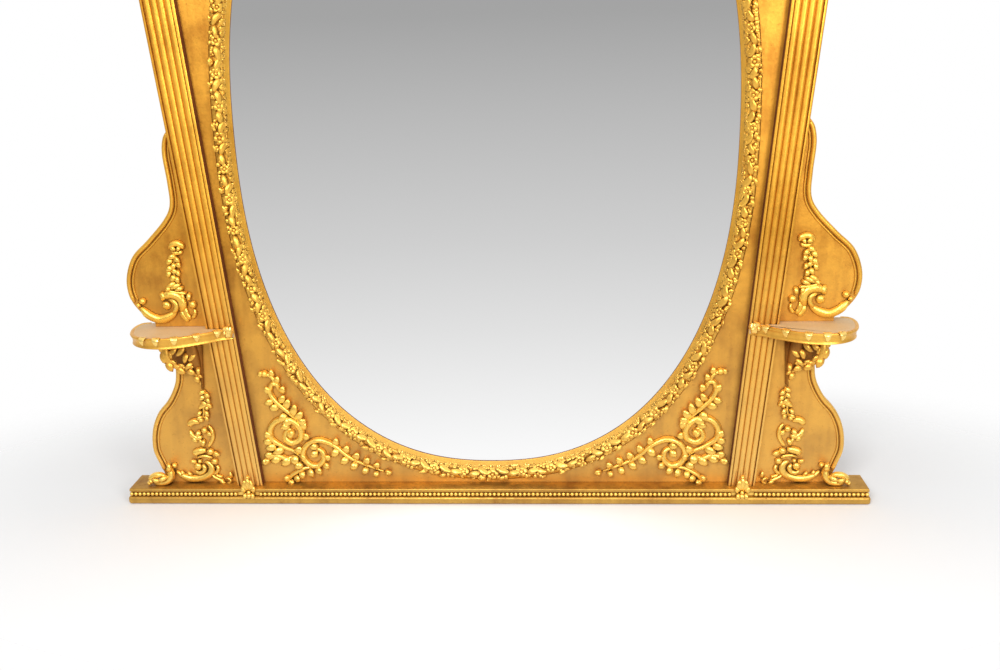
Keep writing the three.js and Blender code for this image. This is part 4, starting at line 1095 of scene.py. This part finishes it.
# %% [markdown]
# Bracket shelves
#
# Each shelf is a thin board with a bow front and a raised lip, and every few centimetres a
# tongue of leaf folds over the lip. Board, lip and tongues all follow the same bow, so the
# bow is one function of how far round it one is, and all three ask it. The lip's section is a
# line of edges, extruded along and laid on the bow row by row.

# %% Shelf bow
SHELF_TOP, SHELF_LOW, LIP_LOW, LIP_HIGH = 338.0, 322.0, 319.0, 339.0
BOW = [
    (624, 2), (637, 6), (643.5, 17), (645, 36), (642, 57), (635, 77), (622, 94), (604, 106),
    (586, 111), (567, 112), (545, 107), (521, 94), (498, 78), (478, 62), (456.5, 50),
]


def on_bow(share):
    path = [(x, depth, 0) for x, depth in BOW]
    ahead = onward(path, share, 0.004)
    return along(path, share).xy, Vector((ahead.y, -ahead.x)).normalized()


def run_lip(bm, section, steps=72):
    line = [bm.verts.new((0, height, inset)) for inset, height in section]
    edges = [bm.edges.new(pair) for pair in zip(line, line[1:] + line[:1])]
    for step in range(steps + 1):
        spot, outward = on_bow(step / steps)
        for vert in line:
            place = spot - outward * vert.co.z
            vert.co.x, vert.co.z = place.x, place.y
        if step < steps:
            made = bmesh.ops.extrude_edge_only(bm, edges=edges)["geom"]
            line = points_of(made)
            for vert, (inset, height) in zip(line, section):
                vert.co.x, vert.co.z = 0, inset
            edges = edges_between(made, line)


def folded_tongue(bm, share):
    spot, outward = on_bow(share)
    path = [(0, 1.2, -7), (0, 1.6, -2.5), (0, -1.5, 2.4), (0, -7, 3.0), (0, -13, 0.6)]
    made = drawn_ball(bm, path, 18, 2.7, swell_tail, 10, 12, 0.25)
    turn = Matrix.Rotation(math.atan2(outward.x, outward.y), 3, "Y")
    bmesh.ops.rotate(bm, cent=(0, 0, 0), matrix=turn, verts=made)
    bmesh.ops.translate(bm, vec=(spot.x, LIP_HIGH, spot.y), verts=made)


bm = bmesh.new()
lip = [(8, LIP_LOW), (3.6, LIP_LOW), (2.6, 320), (3.0, 321.6), (3.6, 323), (3.6, 326), (3.2, 329.5)]
lip += [(2.2, 332.5), (0.9, 334), (0, 336.2), (0.7, 338.3), (2.6, LIP_HIGH), (5.4, 338.6), (8, 337)]
run_lip(bm, lip)
bmesh.ops.recalc_face_normals(bm, faces=bm.faces)
plain_faces = len(bm.faces)
for index in range(5):
    folded_tongue(bm, 0.511 + 0.101 * index)
leaves(bm, 54, 7, (468, 328, 150, 18, 9, -60), (470, 334, 100, 12, 9, 60), (462, 322, 70, 16, 9, 50))
berries(bm, 55, 6, (460, 336, 6.5), (471, 333, 5.5))
bm.faces.ensure_lookup_table()
for face in bm.faces[plain_faces:]:
    face.material_index = 1
stand_copies(bm, PAIR, "shelf_lip", [edge_gold, tongue_gold], "bright_gilt", "shelf_rim", sharp=45)

# %% Shelf board
BOARD_INSET, BOW_STEPS = 5.2, 60
corners = []
for step in range(BOW_STEPS + 1):
    spot, outward = on_bow(step / BOW_STEPS)
    corners.append(spot - outward * BOARD_INSET)
corners += [(456.5, 49), (507.5, 49), (508, 4)]  # past the post, and back along it to the wall
bm = bmesh.new()
lower_face = flat_face(bm, [(x, SHELF_LOW, depth) for x, depth in corners])
thicken(bm, [lower_face], (0, SHELF_TOP - SHELF_LOW, 0))
stand_copies(bm, PAIR, "shelf_board", [shelf_dust], "shelf_top", "shelf", sharp=30)

# %% [markdown]
# Leaf brackets
#
# Under each shelf a carved leaf carries the board. Its body is a hollow that the light hardly
# reaches, and only the lobed border and a few small leaves catch it. So the plate and the
# body on it are painted dark gold as painted shade, and a bright roll runs down the border, with lobes on it.

# %% Leaf brackets
bm = bmesh.new()
border = [
    (584, 319, 45), (587, 306, 46), (587, 297, 47), (586, 287, 48), (582, 277, 47), (575, 269, 45),
    (566, 264, 43), (556, 262, 42), (547, 258, 40), (539, 249, 38), (534, 235, 36), (532, 219, 34),
]
outline = [tuple(along(border, step / 20).xy) for step in range(21)]
outline += [(528, 222), (527, 240), (526, 262), (524, 290), (522, 320)]
thicken(bm, [flat_face(bm, [(x, z, 31.4) for x, z in outline])], (0, 0, 5))
drawn_ball(bm, [(546, 330, 36), (542, 300, 39), (537, 270, 37), (532, 236, 33)], 24, 9, swell_leaf, 12, 16)
# Plate and body take the painted shade of the hollow.
for face in bm.faces:
    face.material_index = 1
drawn_ball(bm, border, 17, 7, swell_tail, 8, 30)
SCALLOPS = 6
for index in range(SCALLOPS):
    share = 0.02 + 0.8 * index / (SCALLOPS - 1)
    spot = along(border, share)
    heading = bearing(border, share, 0.03)
    size = 27 - 11 * share
    leaf(bm, spot.x, spot.y, spot.z - 2, heading + 24, size, size * 0.72, -34, 6, 0.2)
    leaf(bm, spot.x, spot.y, spot.z - 3, heading - 50, size * 0.8, size * 0.45, 40, 5, 0.4)
leaves(
    bm, 40, 7, (567, 304, -62, 23, 8, 40), (553, 306, -70, 24, 8, 40), (546, 292, -48, 20, 8, -40),
    (534, 293, -70, 20, 7, 40), (541, 275, -60, 19, 7, 40), (531, 266, -85, 15, 6, -20),
)
stand_copies(bm, PAIR, "bracket_leaf", [edge_gold, shaded_hollow_gold], "bright_gilt", "corbel")

# %% [markdown]
# Crest
#
# A scallop shell between two leafy scrolls stands on the top board, pinned to its face. The
# shell is nine ribs from one root, each a ball with a blunt end, and the scrolls are made as
# one side and its mirror image.

# %% Crest shell
CREST_BED, SHELL_HEIGHT, SHELL_RADIUS = 36.0, 1473.5, 61.0


def swell_rib(share):
    return (0.12 + 0.88 * min(1, share * 1.15)) * (1 - share ** 10) ** 0.5


RIBS = 9
bm = bmesh.new()
for rib in range(RIBS):
    angle = math.radians(180 * (1.08 * (rib + 0.5) / RIBS - 0.04))
    tip = Vector((SHELL_RADIUS * math.cos(angle), SHELL_HEIGHT + SHELL_RADIUS * math.sin(angle), CREST_BED))
    root = Vector((0, 1452, CREST_BED + 4))
    middle = root.lerp(tip, 0.6) + Vector((0, 0, 3))
    drawn_ball(bm, [tuple(root), tuple(middle), tuple(tip)], 21, 10, swell_rib, 10, 14)
leaves(
    bm, CREST_BED, 8, (0, 1452, -90, 26, 12, 0), (0, 1452, -130, 24, 11, 30), (0, 1452, -50, 24, 11, -30),
    (0, 1452, -165, 26, 11, 40), (0, 1452, -15, 26, 11, -40),
)
berry(bm, 0, 1453, CREST_BED + 5, 9, 10)
press(bm, ONE, "crest_shell", "crest_ornament", 34, 20)

bm = bmesh.new()
stem(bm, CREST_BED, 16, 9, (16, 1462), (40, 1462), (62, 1462), (80, 1470), (96, 1478), dent=0.3)
drawn_ball(bm, spiral_path(97, 1452, CREST_BED, 25, 6, 95, -520, 2), 10, 9, swell_stem, 8, 30)
berry(bm, 97, 1452, CREST_BED + 3, 6, 8)
acanthus(
    bm, [(108, 1436, CREST_BED), (140, 1430, CREST_BED), (176, 1430, CREST_BED), (212, 1436, CREST_BED)],
    20, CREST_BED, 6, 7, 8,
)
leaves(
    bm, CREST_BED, 8, (40, 1466, 60, 22, 11, 40), (60, 1468, 40, 22, 11, 50), (50, 1456, -50, 22, 11, -40),
    (72, 1452, -70, 20, 10, -40), (120, 1462, 40, 22, 11, -50), (122, 1448, 0, 24, 11, -40),
)
press(bm, PAIR, "crest_scroll", None, 34, 20)

# %% [markdown]
# One face of gesso
#
# The ground of the frame is four boards butted together, but the joiner sized and gessoed
# them as one, so no joint shows. The face is a ring of quads: the inner ring lies on the oval
# and each outer vertex is pushed along its own ray until it meets the board's edge.

# %% Panel face
def board_edge(point):
    ray = point - Vector((0, SIGHT_CENTRE))
    if ray.y < 0:
        reach = (BOARD_FOOT - SIGHT_CENTRE) / ray.y
    else:
        reach = (BOARD_HEAD - SIGHT_CENTRE) / max(ray.y, 1e-6)
    lean = OUTER_LEAN * ray.y
    side = (post_outer(SIGHT_CENTRE) - 0.4) / max(abs(ray.x) - lean, 1e-6)
    return Vector((0, SIGHT_CENTRE)) + ray * min(reach, side)


PANEL_BACK, PANEL_INSET = 19.0, 9.6
bm = bmesh.new()
bmesh.ops.create_circle(bm, cap_ends=False, segments=360, radius=1)
outer_ring = set(points_of(bmesh.ops.extrude_edge_only(bm, edges=bm.edges[:])["geom"]))
for vert in bm.verts:
    share = (math.atan2(vert.co.x, -vert.co.y) / (2 * math.pi)) % 1
    point = on_oval(share * oval_length, PANEL_INSET)
    point = board_edge(point) if vert in outer_ring else point
    vert.co = Vector((point.x, point.y, PANEL_BACK))
thicken(bm, bm.faces[:], (0, 0, GROUND - PANEL_BACK))
boards = [f"panel_{place}_{side}" for place in ("lower", "upper") for side in ("left", "right")]
stand(bm, "panel_face", [field_gold], "gilt", boards, sharp=40)
print("panel face:", len(bm.faces), "faces")
bm.free()

# %% [markdown]
# What stays as it was built
#
# The boards of the back, the cornice, the frieze, the capitals, the plate of glass and the
# hardware already have their true shape, so only their surface changes. A weld joins their
# loose triangles and a fine bevel softens the edges that gesso would round.

# %% Finishes for the carried-over parts
FINISH_OF = (
    ("mirror_plate", looking_glass, 0), ("back", pine, 0.6), ("glazing", pine, 0.6),
    ("hanger_plate", brass, 0.4), ("hanger_ring", brass, 0), ("hanger_screw", steel, 0.3),
    ("cornice", edge_gold, 1.4), ("frieze", field_gold, 1.2), ("capital", edge_gold, 1.2),
    ("pediment", field_gold, 1.2),
)
dressed = 0
for name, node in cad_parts.items():
    for start, finish, soft in FINISH_OF:
        if name.startswith(start):
            node.data.materials.clear()
            node.data.materials.append(finish)
            dressed += 1
            if soft:
                weld = node.modifiers.new("weld", "WELD")
                weld.merge_threshold = 0.01 * MM
                bevel = node.modifiers.new("soft_edges", "BEVEL")
                bevel.width = soft * MM
                bevel.segments = 2
                bevel.limit_method = "ANGLE"
                bevel.angle_limit = math.radians(40)
print(dressed, "parts keep their shape and get their finish")
